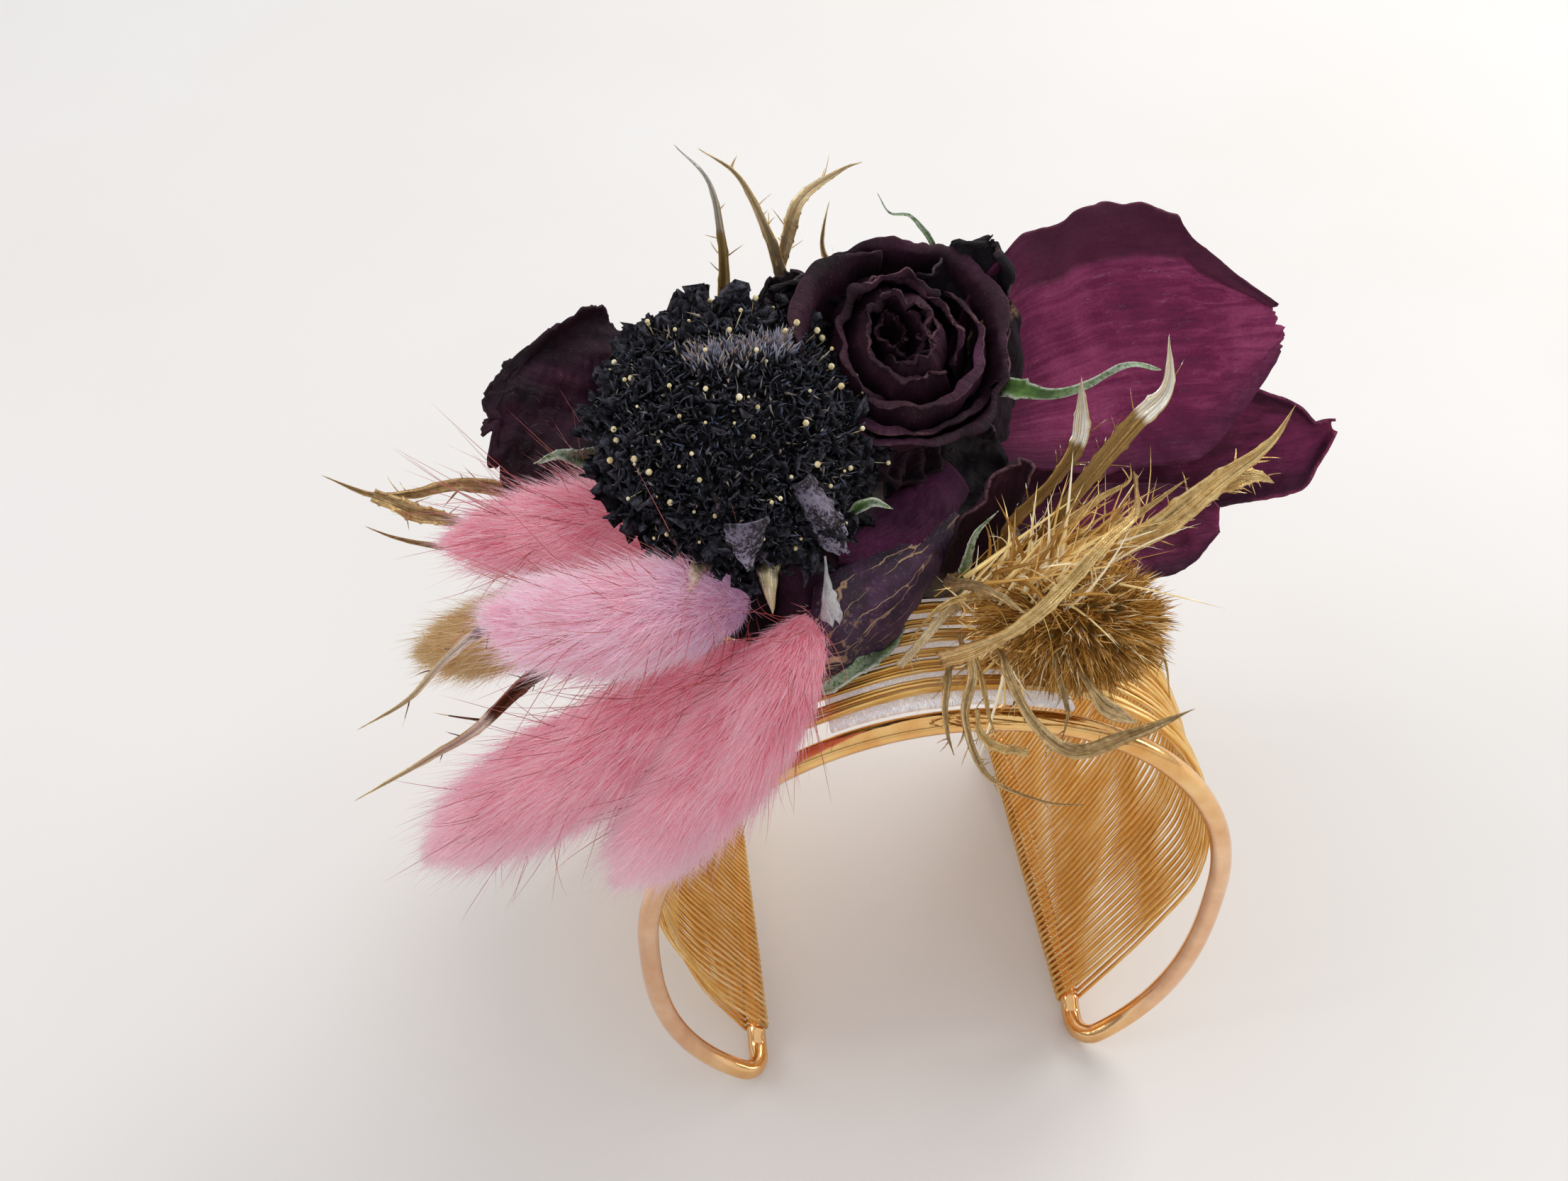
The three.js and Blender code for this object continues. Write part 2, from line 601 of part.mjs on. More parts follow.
// Petals and sepals, each a leaf from base to tip
const bigPetals = {
  plum_petal_large: {
    finish: 'plum', face: [0.05, -0.88, 0.47], widthShare: 1, widestShare: 0.58, squareness: 2.5,
    cup: 0.16, bow: -0.05, wave: 0.02, waves: 3, longSteps: 7, crossSteps: 5,
    baseShares: [0.045, -0.005, 0.155], tipShares: [0.37, 0.062, 0.215],
  },
  plum_petal_side: {
    finish: 'plum', face: [0.05, -0.85, 0.52], widthShare: 0.448, widestShare: 0.66, cup: 0.3,
    bow: -0.06, wave: 0.03,
    baseShares: [0.09, 0.015, 0.04], tipShares: [0.45, 0.035, 0.08],
  },
  plum_petal_low: {
    finish: 'plum', face: [0.1, -0.7, 0.7], widthShare: 0.379, widestShare: 0.66, cup: 0.2,
    bow: -0.04,
    baseShares: [0.09, -0.06, 0.05], tipShares: [0.285, -0.07, 0.05],
  },
  dark_petal_left: {
    finish: 'aubergine', face: [0.1, -0.78, 0.6], widthShare: 0.603, widestShare: 0.66,
    squareness: 3, cup: 0.12, wave: 0.03, waves: 4, longSteps: 6, crossSteps: 4,
    baseShares: [-0.215, 0.03, 0.13], tipShares: [-0.385, 0.055, 0.215],
  },
  dark_petal_left_low: {
    finish: 'aubergine', face: [0.05, -0.6, 0.8], widthShare: 0.345, widestShare: 0.6, cup: 0.2,
    baseShares: [-0.2, 0.04, 0.1], tipShares: [-0.4, 0.03, 0.135],
  },
  dark_petal_back: {
    finish: 'aubergine', face: [0.1, -0.8, 0.5], widthShare: 0.379, widestShare: 0.66,
    squareness: 3, cup: 0.25, wave: 0.04,
    baseShares: [-0.09, 0.07, 0.14], tipShares: [-0.135, 0.085, 0.27],
  },
  dark_petal_middle: {
    finish: 'aubergine', face: [0.2, -0.9, 0.3], widthShare: 0.19, widestShare: 0.55, cup: 0.5,
    wave: 0.04,
    baseShares: [0.02, -0.12, 0.05], tipShares: [0.078, -0.11, 0.178],
  },
  bud_petal_front: {
    finish: 'aubergine', face: [0.35, -0.85, 0.25], widthShare: 0.31, widestShare: 0.45,
    squareness: 2.8, cup: -0.55, bow: 0.05, wave: 0.02,
    baseShares: [0.025, -0.085, 0.1], tipShares: [-0.137, -0.215, 0.042],
  },
  bud_petal_fold: {
    finish: 'aubergine', face: [0.1, -0.6, 0.75], widthShare: 0.259, widestShare: 0.4, cup: -0.4,
    wave: 0.03,
    baseShares: [0.015, -0.07, 0.12], tipShares: [-0.1, -0.14, 0.115],
  },
  bud_petal_left: {
    finish: 'aubergine', face: [-0.45, -0.85, 0.1], widthShare: 0.224, widestShare: 0.6, cup: -0.5,
    baseShares: [-0.125, -0.1, 0.115], tipShares: [-0.153, -0.222, 0.035],
  },
  bud_petal_wing: {
    finish: 'aubergine', face: [-0.1, -0.8, 0.6], widthShare: 0.207, widestShare: 0.6, cup: 0.2,
    wave: 0.03,
    baseShares: [-0.15, -0.13, 0.07], tipShares: [-0.222, -0.17, 0.072],
  },
};

// Small sepals, bracts and tendrils
const slivers = {
  sepal_right: {
    finish: 'sepal', widthShare: 0.722, face: [0.1, -0.8, 0.6],
    routeShares: [
      [0.07, -0.035, 0.215], [0.088, -0.062, 0.226], [0.122, -0.08, 0.238], [0.17, -0.082, 0.264],
      [0.206, -0.08, 0.255],
    ],
  },
  sepal_left: {
    finish: 'sepal', widthShare: 0.667, face: [0, -0.8, 0.6],
    routeShares: [[-0.29, -0.01, 0.13], [-0.344, -0.04, 0.173], [-0.375, -0.05, 0.174]],
  },
  sepal_under_bud: {
    finish: 'sepal', widthShare: 0.667, face: [0, -0.3, 1], tipShare: 0.5,
    routeShares: [
      [-0.03, -0.13, 0.035], [-0.054, -0.17, 0.026], [-0.096, -0.215, 0.024],
      [-0.128, -0.23, 0.022],
    ],
  },
  sepal_middle: {
    finish: 'sepal', widthShare: 0.556, face: [0, -0.9, 0.3],
    routeShares: [
      [0.015, -0.13, 0.05], [0.017, -0.155, 0.075], [0.027, -0.15, 0.13], [0.051, -0.14, 0.152],
    ],
  },
  tendril_top: {
    finish: 'sepal', widthShare: 0.333, face: [0, -0.8, 0.6],
    routeShares: [
      [0.025, 0.05, 0.25], [0.021, 0.06, 0.31], [-0.007, 0.07, 0.339], [-0.025, 0.075, 0.342],
      [-0.037, 0.08, 0.361],
    ],
  },
  white_bract: {
    finish: 'silver', widthShare: 0.889, face: [0.1, -0.9, 0.3],
    routeShares: [[-0.112, -0.192, 0.075], [-0.115, -0.19, 0.115], [-0.118, -0.185, 0.153]],
  },
  pale_bract_1: {
    finish: 'gilt', widthShare: 0.833, face: [0, -0.8, 0.6],
    routeShares: [[-0.165, -0.15, 0.13], [-0.169, -0.18, 0.138], [-0.168, -0.21, 0.11]],
  },
  pale_bract_2: {
    finish: 'gilt', widthShare: 0.667, face: [0, -0.8, 0.6],
    routeShares: [[-0.215, -0.15, 0.14], [-0.233, -0.19, 0.152], [-0.248, -0.22, 0.142]],
  },
};

// Grass tails, from their roots in the glue to their tips
const tails = {
  pink_tail_top: {
    finish: 'pinkFur',
    routeShares: [
      [-0.1, -0.07, 0.03], [-0.187, -0.13, 0.06], [-0.223, -0.17, 0.092], [-0.267, -0.2, 0.116],
      [-0.308, -0.22, 0.128], [-0.363, -0.23, 0.14], [-0.408, -0.24, 0.16],
    ],
  },
  pink_tail_back: {
    finish: 'pinkFur', sizeShare: 0.86,
    routeShares: [
      [-0.1, -0.01, 0.03], [-0.2, -0.02, 0.045], [-0.262, -0.05, 0.068], [-0.296, -0.06, 0.095],
      [-0.349, -0.08, 0.118], [-0.402, -0.09, 0.12], [-0.451, -0.095, 0.121],
    ],
  },
  pink_tail_left: {
    finish: 'pinkFur', sizeShare: 0.95,
    routeShares: [
      [-0.1, -0.09, 0.022], [-0.16, -0.15, 0.03], [-0.22, -0.19, 0.022], [-0.27, -0.22, 0.012],
      [-0.325, -0.25, -0.006], [-0.407, -0.27, -0.042], [-0.49, -0.28, -0.091],
    ],
  },
  pink_tail_front: {
    finish: 'pinkFur', sizeShare: 0.88,
    routeShares: [
      [-0.08, -0.1, 0.03], [-0.11, -0.15, 0.05], [-0.141, -0.2, 0.057], [-0.175, -0.24, 0.037],
      [-0.229, -0.28, -0.009], [-0.271, -0.3, -0.051], [-0.318, -0.31, -0.111],
    ],
  },
  gold_tail: {
    finish: 'goldFur',
    routeShares: [
      [-0.09, -0.03, 0.015], [-0.2, -0.05, 0.02], [-0.3, -0.075, 0.022], [-0.375, -0.08, 0.005],
      [-0.416, -0.07, -0.02], [-0.459, -0.06, -0.044], [-0.499, -0.05, -0.063],
    ],
    plumpShares: [0.1, 0.1, 0.1, 0.1, 0.14, 0.6, 0.95, 1, 0.85, 0.3],
  },
};
const pinkPlumpShares = [0.1, 0.1, 0.12, 0.4, 0.8, 1, 1, 0.88, 0.62, 0.16];

// Gilded blades of the thistle and of the sprigs, from root to tip. A spine is its place along
// the blade, the side it points to and its reach, both of the blade's own sizes.
const blades = {
  thistle_blade_1: {
    widthShare: 0.833, face: [0, -0.8, 0.6],
    routeShares: [
      [0.05, -0.15, 0.08], [0.063, -0.17, 0.125], [0.083, -0.185, 0.165], [0.116, -0.18, 0.217],
      [0.155, -0.17, 0.27], [0.181, -0.16, 0.284], [0.178, -0.14, 0.354],
    ],
    spineShares: [[0.4, 1, 1.4], [0.6, -1, 1.3]],
  },
  thistle_blade_2: {
    widthShare: 1, face: [0, -0.8, 0.6],
    routeShares: [
      [0.07, -0.13, 0.085], [0.105, -0.165, 0.112], [0.147, -0.19, 0.14], [0.191, -0.19, 0.165],
      [0.237, -0.18, 0.202], [0.282, -0.17, 0.234], [0.303, -0.16, 0.267],
    ],
    spineShares: [[0.4, 1, 1.5], [0.6, -1, 1.4], [0.75, 1, 1.1]],
  },
  thistle_blade_3: {
    widthShare: 0.5, face: [0, -0.8, 0.6],
    routeShares: [
      [0.06, -0.14, 0.1], [0.095, -0.175, 0.135], [0.149, -0.19, 0.168], [0.211, -0.18, 0.21],
    ],
    spineShares: [[0.5, 1, 2]],
  },
  thistle_blade_4: {
    widthShare: 0.722, face: [0, -0.8, 0.6],
    routeShares: [
      [0.035, -0.14, 0.09], [0.048, -0.165, 0.12], [0.055, -0.17, 0.16], [0.085, -0.17, 0.206],
      [0.108, -0.16, 0.239], [0.113, -0.15, 0.267], [0.107, -0.14, 0.313],
    ],
    spineShares: [[0.45, -1, 1.6], [0.65, 1, 1.6]],
  },
  thistle_blade_5: {
    widthShare: 0.5, face: [0, -0.8, 0.6],
    routeShares: [
      [0.055, -0.16, 0.11], [0.085, -0.185, 0.15], [0.123, -0.19, 0.199], [0.15, -0.19, 0.218],
      [0.153, -0.18, 0.232],
    ],
  },
  thistle_blade_6: {
    widthShare: 0.667, face: [0, -0.8, 0.6], tipShare: 0.9,
    routeShares: [
      [0.165, -0.165, 0.205], [0.141, -0.24, 0.226], [0.105, -0.275, 0.226],
      [0.065, -0.305, 0.206], [0.035, -0.305, 0.17], [0, -0.285, 0.122], [-0.023, -0.265, 0.091],
    ],
  },
  thistle_blade_7: {
    widthShare: 0.722, face: [0.4, -0.2, 0.9],
    routeShares: [
      [0.02, -0.15, 0.08], [-0.005, -0.19, 0.11], [0.016, -0.24, 0.15], [0.049, -0.285, 0.155],
    ],
  },
  thistle_blade_8: {
    widthShare: 0.333, face: [0, -0.8, 0.6],
    routeShares: [
      [0.03, -0.16, 0.06], [0.0, -0.185, 0.07], [-0.022, -0.2, 0.056], [-0.049, -0.21, 0.028],
    ],
  },
  thistle_blade_9: {
    widthShare: 0.944, face: [0.5, -0.3, 0.8], tipShare: 0.1,
    routeShares: [
      [0.03, -0.2, 0.05], [0.033, -0.26, 0.085], [0.035, -0.285, 0.08], [0.058, -0.305, 0.037],
      [0.099, -0.31, -0.002], [0.149, -0.31, 0.015], [0.206, -0.31, 0.046],
    ],
    spineShares: [[0.3, 1, 1]],
  },
  thistle_blade_10: {
    widthShare: 0.667, face: [0.5, -0.3, 0.8],
    routeShares: [
      [0.01, -0.2, 0.05], [-0.002, -0.25, 0.095], [0.001, -0.285, 0.09], [-0.007, -0.305, 0.052],
      [0.02, -0.31, -0.024], [0.078, -0.31, -0.069], [0.124, -0.3, -0.092],
    ],
    spineShares: [[0.45, 1, 2.2], [0.6, -1, 1]],
  },
  top_blade_silver: {
    finish: 'silver', widthShare: 0.611, face: [0, -0.9, 0.4],
    routeShares: [
      [-0.085, 0.05, 0.04], [-0.16, 0.09, 0.13], [-0.18, 0.09, 0.232], [-0.18, 0.09, 0.278],
      [-0.182, 0.09, 0.319], [-0.193, 0.09, 0.377], [-0.224, 0.08, 0.423],
    ],
    spineShares: [[0.5, -1, 2.2]],
  },
  top_blade_fork: {
    widthShare: 0.944, face: [0, -0.9, 0.4],
    routeShares: [
      [-0.06, 0.055, 0.04], [-0.105, 0.1, 0.13], [-0.119, 0.1, 0.242], [-0.128, 0.1, 0.28],
      [-0.139, 0.1, 0.316], [-0.164, 0.1, 0.375], [-0.202, 0.09, 0.412],
    ],
    spineShares: [[0.9, 1, 0.8]],
    forkShares: [
      [-0.126, 0.1, 0.272], [-0.107, 0.11, 0.337], [-0.067, 0.12, 0.363], [-0.045, 0.12, 0.371],
    ],
  },
  top_blade_back: {
    widthShare: 0.667, face: [0, -0.9, 0.4],
    routeShares: [
      [-0.035, 0.06, 0.04], [-0.06, 0.12, 0.14], [-0.069, 0.13, 0.235], [-0.08, 0.13, 0.273],
      [-0.079, 0.13, 0.299], [-0.073, 0.135, 0.323],
    ],
  },
  left_blade_upper: {
    widthShare: 0.944, face: [0, -0.7, 0.7],
    routeShares: [
      [-0.14, 0.03, 0.02], [-0.27, 0.02, 0.05], [-0.368, 0, 0.084], [-0.442, -0.01, 0.122],
      [-0.494, -0.02, 0.124], [-0.53, -0.03, 0.134], [-0.571, -0.04, 0.171],
    ],
    spineShares: [[0.7, -1, 1.2]],
    forkShares: [
      [-0.53, -0.03, 0.134], [-0.5, -0.035, 0.118], [-0.463, -0.035, 0.1],
      [-0.422, -0.025, 0.075],
    ],
  },
  left_blade_lower: {
    widthShare: 0.5, face: [0, -0.7, 0.7],
    routeShares: [
      [-0.13, 0.02, 0.015], [-0.28, 0, 0.035], [-0.38, -0.02, 0.05], [-0.457, -0.04, 0.068],
      [-0.51, -0.05, 0.094], [-0.538, -0.06, 0.122],
    ],
  },
  left_blade_near: {
    widthShare: 0.556, face: [0, -0.7, 0.7],
    routeShares: [
      [-0.12, -0.05, 0.02], [-0.26, -0.09, 0.035], [-0.36, -0.11, 0.045], [-0.425, -0.12, 0.039],
      [-0.473, -0.15, 0.026], [-0.51, -0.18, 0.007], [-0.559, -0.2, -0.008],
    ],
  },
  left_blade_front: {
    widthShare: 0.611, face: [0, -0.7, 0.7],
    routeShares: [
      [-0.11, -0.07, 0.02], [-0.24, -0.12, 0.022], [-0.33, -0.14, 0.012], [-0.393, -0.14, -0.016],
      [-0.45, -0.18, -0.04], [-0.499, -0.21, -0.045], [-0.571, -0.23, -0.074],
    ],
    spineShares: [[0.72, 1, 2.4]],
  },
};

// Thistle: a core with a bristle on each of its facets, none of which can cross
const thistleEndShares = [[0.037, -0.205, 0.088], [0.188, -0.215, 0.056]];

function thistleAxis() {
  const [left, right] = thistleEndShares.map(spot);
  const middle = left.clone().add(right).multiplyScalar(0.5);
  const lean = new THREE.Quaternion().setFromUnitVectors(vec(1, 0, 0), right.sub(left).normalize());
  return { middle, lean };
}

function thistleBall(longRadius, shortRadius, detail) {
  const { middle, lean } = thistleAxis();
  return bareOf(new THREE.IcosahedronGeometry(1, detail)).scale(longRadius, shortRadius, shortRadius)
    .applyQuaternion(lean).translate(middle.x, middle.y, middle.z);
}

function thistleHead(grow) {
  const { middle } = thistleAxis();
  const [fatDetail, coreDetail, thickShare, shortestShare] = [3, 4, 1.4, 0.64];
  const bendShares = [0.04, -0.16, 0.06];
  const route = [middle, spot(bendShares), spot(glueRootShares.right)];
  const stem = stalk(route, stalkThickness * thickShare, grow);
  const [longRadius, shortRadius] = [thistleLength / 2, thistleWidth / 2];
  if (grow > 0) return solidOf(thistleBall(longRadius + grow, shortRadius + grow, fatDetail)).add(stem);
  const core = thistleBall(longRadius - bristleLength, shortRadius - bristleLength, coreDetail);
  const place = core.attributes.position;
  const points = [];
  for (let i = 0; i < place.count; i += 3) {
    const [a, b, c] = [0, 1, 2].map((k) => vec(0, 0, 0).fromBufferAttribute(place, i + k));
    const centre = a.clone().add(b).add(c).divideScalar(3);
    const out = b.clone().sub(a).cross(c.clone().sub(a)).normalize();
    const reach = bristleLength * mix(shortestShare, 1, (1 + Math.sin(i)) / 2);
    const tip = centre.addScaledVector(out, reach);
    points.push(a, b, tip, b, c, tip, c, a, tip);
  }
  return solidOf(new THREE.BufferGeometry().setFromPoints(points)).add(stem);
}

function leafShape(leaf, grow) {
  const { baseShares, tipShares, face, widthShare } = leaf;
  return petal({
    ...leaf,
    base: spot(baseShares),
    tip: spot(tipShares),
    face: vec(...face).normalize(),
    width: widthShare * largePetalWidth,
  }, grow);
}

function bladeShape({ routeShares, widthShare, face, spineShares = [], forkShares, ...rest }, grow) {
  const width = widthShare * bladeWidth;
  const forkWidthShare = 0.7;
  const common = { ...rest, width, face: vec(...face).normalize() };
  const main = blade({ ...common, route: routeShares.map(spot), spines: spineShares }, grow);
  if (!forkShares) return main;
  return main.add(blade({ ...common, width: width * forkWidthShare, route: forkShares.map(spot) }, grow));
}

function tailShape({ routeShares, plumpShares = pinkPlumpShares, sizeShare = 1, finish }, grow) {
  const width = (finish === 'goldFur' ? goldTailWidth : tailWidth) * sizeShare;
  return tail({ route: routeShares.map(spot), width, plumpShares }, grow);
}

function budCore(grow) {
  const [footShares, topShares, wideShare] = [[0, -0.075, 0.07], [-0.12, -0.15, 0.085], 0.36];
  return turned({
    foot: spot(footShares),
    top: spot(topShares),
    width: roseWidth * wideShare,
    profileShares: [[0, 0], [0.12, 0.7], [0.4, 1], [0.75, 0.8], [1, 0]],
    segments: 8,
  }, grow);
}

function budHip(grow) {
  const [footShares, topShares, wideShare] = [[0.035, -0.06, 0.04], [0.008, -0.07, 0.068], 0.25];
  const stalkShares = [[0.025, -0.063, 0.05], [0.035, -0.05, 0.035], [0.03, -0.03, 0.02]];
  const cup = turned({
    foot: spot(footShares),
    top: spot(topShares),
    width: roseWidth * wideShare,
    profileShares: [[0, 0], [0.1, 0.5], [0.6, 1], [1, 0]],
    segments: 8,
  }, grow);
  return cup.add(stalk(stalkShares.map(spot), stalkThickness, grow));
}

// The glue: a low mound on the strands, cut by everything that is set in it
function glueMound(grow) {
  const leanShare = -0.06; // of its size, towards the front left
  const round = geometryOf(turned({
    foot: vec(0, 0, -glueRise),
    top: vec(0, 0, strandRise + glueRise),
    width: glueWidth,
    profileShares: [[0, 0], [0.05, 0.8], [0.3, 1], [0.6, 0.9], [0.85, 0.6], [1, 0]],
    segments: 12,
  }, grow));
  const place = vec(glueWidth * leanShare, glueDepth * leanShare, 0);
  return solidOf(round.scale(1, glueDepth / glueWidth, 1).translate(place.x, place.y, 0));
}

// What the posy must stay clear of: the round body of the cuff, rails and strands
function cuffBody(grow) {
  const sides = 40;
  const radius = strandTopRadius + windingWire / 2 + grow;
  const length = cuffDepth + frameWire + grow + grow;
  return solidOf(new THREE.CylinderGeometry(radius, radius, length, sides).translate(0, 0, -cuffWidth / 2));
}

addPiece('scabiosa_head', 'blackFloret', scabiosaHead);
addPiece('rose_core', 'aubergine', roseCore);
addPiece('thistle_head', 'goldFur', thistleHead);
addPiece('scabiosa_stem', 'stalk', scabiosaStem);
addPiece('rose_hip', 'stalk', roseHip);
rosePetals.forEach((_, index) => {
  addPiece(`rose_petal_${index + 1}`, 'aubergine', (grow) => rosePetal(index, grow));
});
addPiece('scabiosa_frill', 'blackFloret', scabiosaFrill);
for (const [name, size] of Object.entries(blades)) {
  addPiece(name, size.finish ?? 'gilt', (grow) => bladeShape(size, grow));
}
for (const [name, size] of Object.entries(slivers)) {
  addPiece(name, size.finish, (grow) => bladeShape(size, grow));
}
for (const [name, size] of Object.entries(tails)) {
  addPiece(name, size.finish, (grow) => tailShape(size, grow));
}
addPiece('bud_hip', 'stalk', budHip);
addPiece('bud_core', 'aubergine', budCore);
for (const [name, size] of Object.entries(bigPetals)) {
  addPiece(name, size.finish, (grow) => leafShape(size, grow));
}
addPiece('glue_mound', 'glue', glueMound);

// Assembly
const materialOf = (finish) => new THREE.MeshStandardMaterial(finishes[finish]);

function meshOf(name, geometry, finish) {
  const mesh = new THREE.Mesh(geometry, materialOf(finish));
  mesh.name = name;
  return mesh;
}

function largestBody(solid) {
  return solid.decompose().sort((a, b) => b.volume() - a.volume())[0];
}

const boxesMeet = (a, b) => [0, 1, 2].every((k) => a.min[k] < b.max[k] && b.min[k] < a.max[k]);

function posyMeshes() {
  const keepOut = cuffBody(seatGap);
  return pieces.map((piece, rank) => {
    const plain = piece.shape(0);
    piece.fat = piece.shape(seatGap).add(plain);
    let solid = plain.subtract(keepOut);
    for (const other of pieces.slice(0, rank)) {
      if (boxesMeet(solid.boundingBox(), other.fat.boundingBox())) solid = solid.subtract(other.fat);
    }
    const body = largestBody(largestBody(solid).simplify(seatGap * flattenShare));
    const geometry = geometryOf(body);
    geometry.computeBoundingBox();
    const middle = geometry.boundingBox.getCenter(vec(0, 0, 0));
    geometry.translate(-middle.x, -middle.y, -middle.z);
    const mesh = meshOf(piece.name, geometry, piece.finish);
    mesh.position.copy(middle);
    return mesh;
  });
}

const cuff = new THREE.Group();
cuff.add(meshOf('frame_wire', frameWireShape(), 'roseGold'));
cuff.add(meshOf('wire_winding', windingShape(), 'gold'));
cuff.add(meshOf('backing_pad', padShape(), 'felt'));

const posy = new THREE.Group();
posy.position.z = crownZ;
posy.add(...posyMeshes());

const group = new THREE.Group();
group.add(cuff, posy);
const reach = new THREE.Box3().setFromObject(group);
group.position.set(-(reach.min.x + reach.max.x) / 2, -(reach.min.y + reach.max.y) / 2, -reach.min.z);

export default group;
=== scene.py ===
import math
import re
import bmesh
import bpy
import numpy as np
from mathutils import Matrix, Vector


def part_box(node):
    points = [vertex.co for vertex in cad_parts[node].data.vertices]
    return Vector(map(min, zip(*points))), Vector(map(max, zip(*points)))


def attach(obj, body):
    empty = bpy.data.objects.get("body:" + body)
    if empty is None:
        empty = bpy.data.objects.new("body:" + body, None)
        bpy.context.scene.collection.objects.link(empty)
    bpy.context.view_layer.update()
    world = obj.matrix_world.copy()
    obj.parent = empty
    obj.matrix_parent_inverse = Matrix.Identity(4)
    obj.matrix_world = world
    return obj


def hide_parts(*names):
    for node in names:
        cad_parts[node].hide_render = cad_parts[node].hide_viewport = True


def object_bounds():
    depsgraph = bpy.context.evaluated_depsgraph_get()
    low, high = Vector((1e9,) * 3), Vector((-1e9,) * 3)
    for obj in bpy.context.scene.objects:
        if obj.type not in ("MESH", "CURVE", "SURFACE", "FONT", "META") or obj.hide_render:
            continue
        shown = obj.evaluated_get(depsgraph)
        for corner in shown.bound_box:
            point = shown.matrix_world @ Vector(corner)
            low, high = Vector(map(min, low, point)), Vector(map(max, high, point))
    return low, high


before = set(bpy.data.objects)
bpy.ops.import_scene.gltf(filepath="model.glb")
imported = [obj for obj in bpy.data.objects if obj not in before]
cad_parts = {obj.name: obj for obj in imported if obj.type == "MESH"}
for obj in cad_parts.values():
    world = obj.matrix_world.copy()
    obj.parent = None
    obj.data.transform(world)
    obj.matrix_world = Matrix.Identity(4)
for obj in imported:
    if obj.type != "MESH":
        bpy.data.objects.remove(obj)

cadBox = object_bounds()
mm = 0.001
tenth = 0.1 * mm  # places in the posy are in tenths of a mm, from the crown of the rails
goldenTurn = 2.3999632  # radians from one seed of a sunflower to the next
cuff = dict(width=61 * mm, height=59 * mm, depth=52 * mm, mouth=37.8 * mm, wire=2.2 * mm,
            bend=2.6 * mm, foot=1.3 * mm, ramp=1.3 * mm, legPower=2.6, footZ=1.109 * mm)
frameLow, frameHigh = (np.array(corner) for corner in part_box("frame_wire"))
middle = (frameLow + frameHigh) / 2
crownZ = cuff["footZ"] + cuff["height"]
beltZ = crownZ - cuff["width"] / 2
crown = np.array([middle[0], middle[1], crownZ])
ground = np.array([middle[0], middle[1], 0])  # on the table, under the crown


def at(places):  # crown + places · a tenth of a mm
    return crown + np.asarray(places, float) * tenth


# geometry helpers
def unit(vectors):  # each vector over its own length
    return vectors / np.maximum(np.linalg.norm(vectors, axis=-1, keepdims=True), 1e-12)


def swing(side, other, turn):  # side · cos(turn) + other · sin(turn)
    return side * np.cos(turn) + other * np.sin(turn)


def stacked(*values):  # the values side by side on a last axis
    return np.stack(np.broadcast_arrays(*values), -1)


def ease(share):  # s²(3 - 2s), clipped to 0…1
    share = np.clip(share, 0, 1)
    return share * share * (3 - 2 * share)


def ripple(points, length, seed, layers=3):
    # sum over layers of five sines along random directions; each layer is half as long and high
    chance = np.random.default_rng(seed)
    total = 0
    for layer in range(layers):
        ways = unit(chance.normal(size=(5, points.shape[-1]))) * 2 * math.pi / length * 2 ** layer
        total = total + np.sin(points @ ways.T + chance.uniform(0, 7, 5)).sum(-1) / 3 / 2 ** layer
    return total


def smoothPath(points, count):  # Catmull-Rom curve through the points, then spaced evenly by length
    points = np.asarray(points, float)
    wide = np.vstack([2 * points[0] - points[1], points, 2 * points[-1] - points[-2]])
    place = np.linspace(0, len(points) - 1, 30 * (len(points) - 1) + 1)
    i = np.minimum(place.astype(int), len(points) - 2)
    f = (place - i)[:, None]
    a, b, c, d = (wide[i + k] for k in range(4))
    fine = 0.5 * (2 * b + (c - a) * f + (2 * a - 5 * b + 4 * c - d) * f ** 2
                  + (3 * b - a - 3 * c + d) * f ** 3)
    return evenly(fine, count)


def evenly(fine, count):  # points at equal steps of length along a fine row of points
    gone = np.concatenate([[0], np.cumsum(np.linalg.norm(np.diff(fine, axis=0), axis=1))])
    want = np.linspace(0, gone[-1], count)
    return np.stack([np.interp(want, gone, fine[:, k]) for k in range(3)], 1)


def directions(path):  # unit tangent at each point
    return unit(np.gradient(path, axis=0))


def frameAlong(path, face):  # side = tangent × face, up = side × tangent
    tangent = directions(path)
    side = unit(np.cross(tangent, np.broadcast_to(face, path.shape)))
    return tangent, side, np.cross(side, tangent)


def smoothed(values, rounds=3):  # half of each value and a quarter of both neighbours
    for _ in range(rounds):
        values[1:-1] = values[:-2] / 4 + values[1:-1] / 2 + values[2:] / 4
    return values


def gridPart(points, around=False, uv=None):
    # quads over (copies of) a grid of points, rows by columns; around joins the last column to the first
    rows, cols = points.shape[-3:-1]
    points = points.reshape(-1, rows, cols, 3)
    wide = cols if around else cols - 1
    row, col = (index.ravel() for index in np.meshgrid(np.arange(rows - 1), np.arange(wide), indexing="ij"))
    cornerRows = np.stack([row, row, row + 1, row + 1], 1)
    cornerCols = np.stack([col, col + 1, col + 1, col], 1)
    one = cornerRows * cols + cornerCols % cols
    faces = (one + (np.arange(len(points)) * rows * cols)[:, None, None]).reshape(-1, 4)
    if uv is None:
        corners = np.stack([cornerCols / wide, cornerRows / (rows - 1)], -1)
    else:
        corners = uv.reshape(-1, 2)[one]
    return points.reshape(-1, 3), [(faces, np.tile(corners.reshape(-1, 2), (len(points), 1)))]


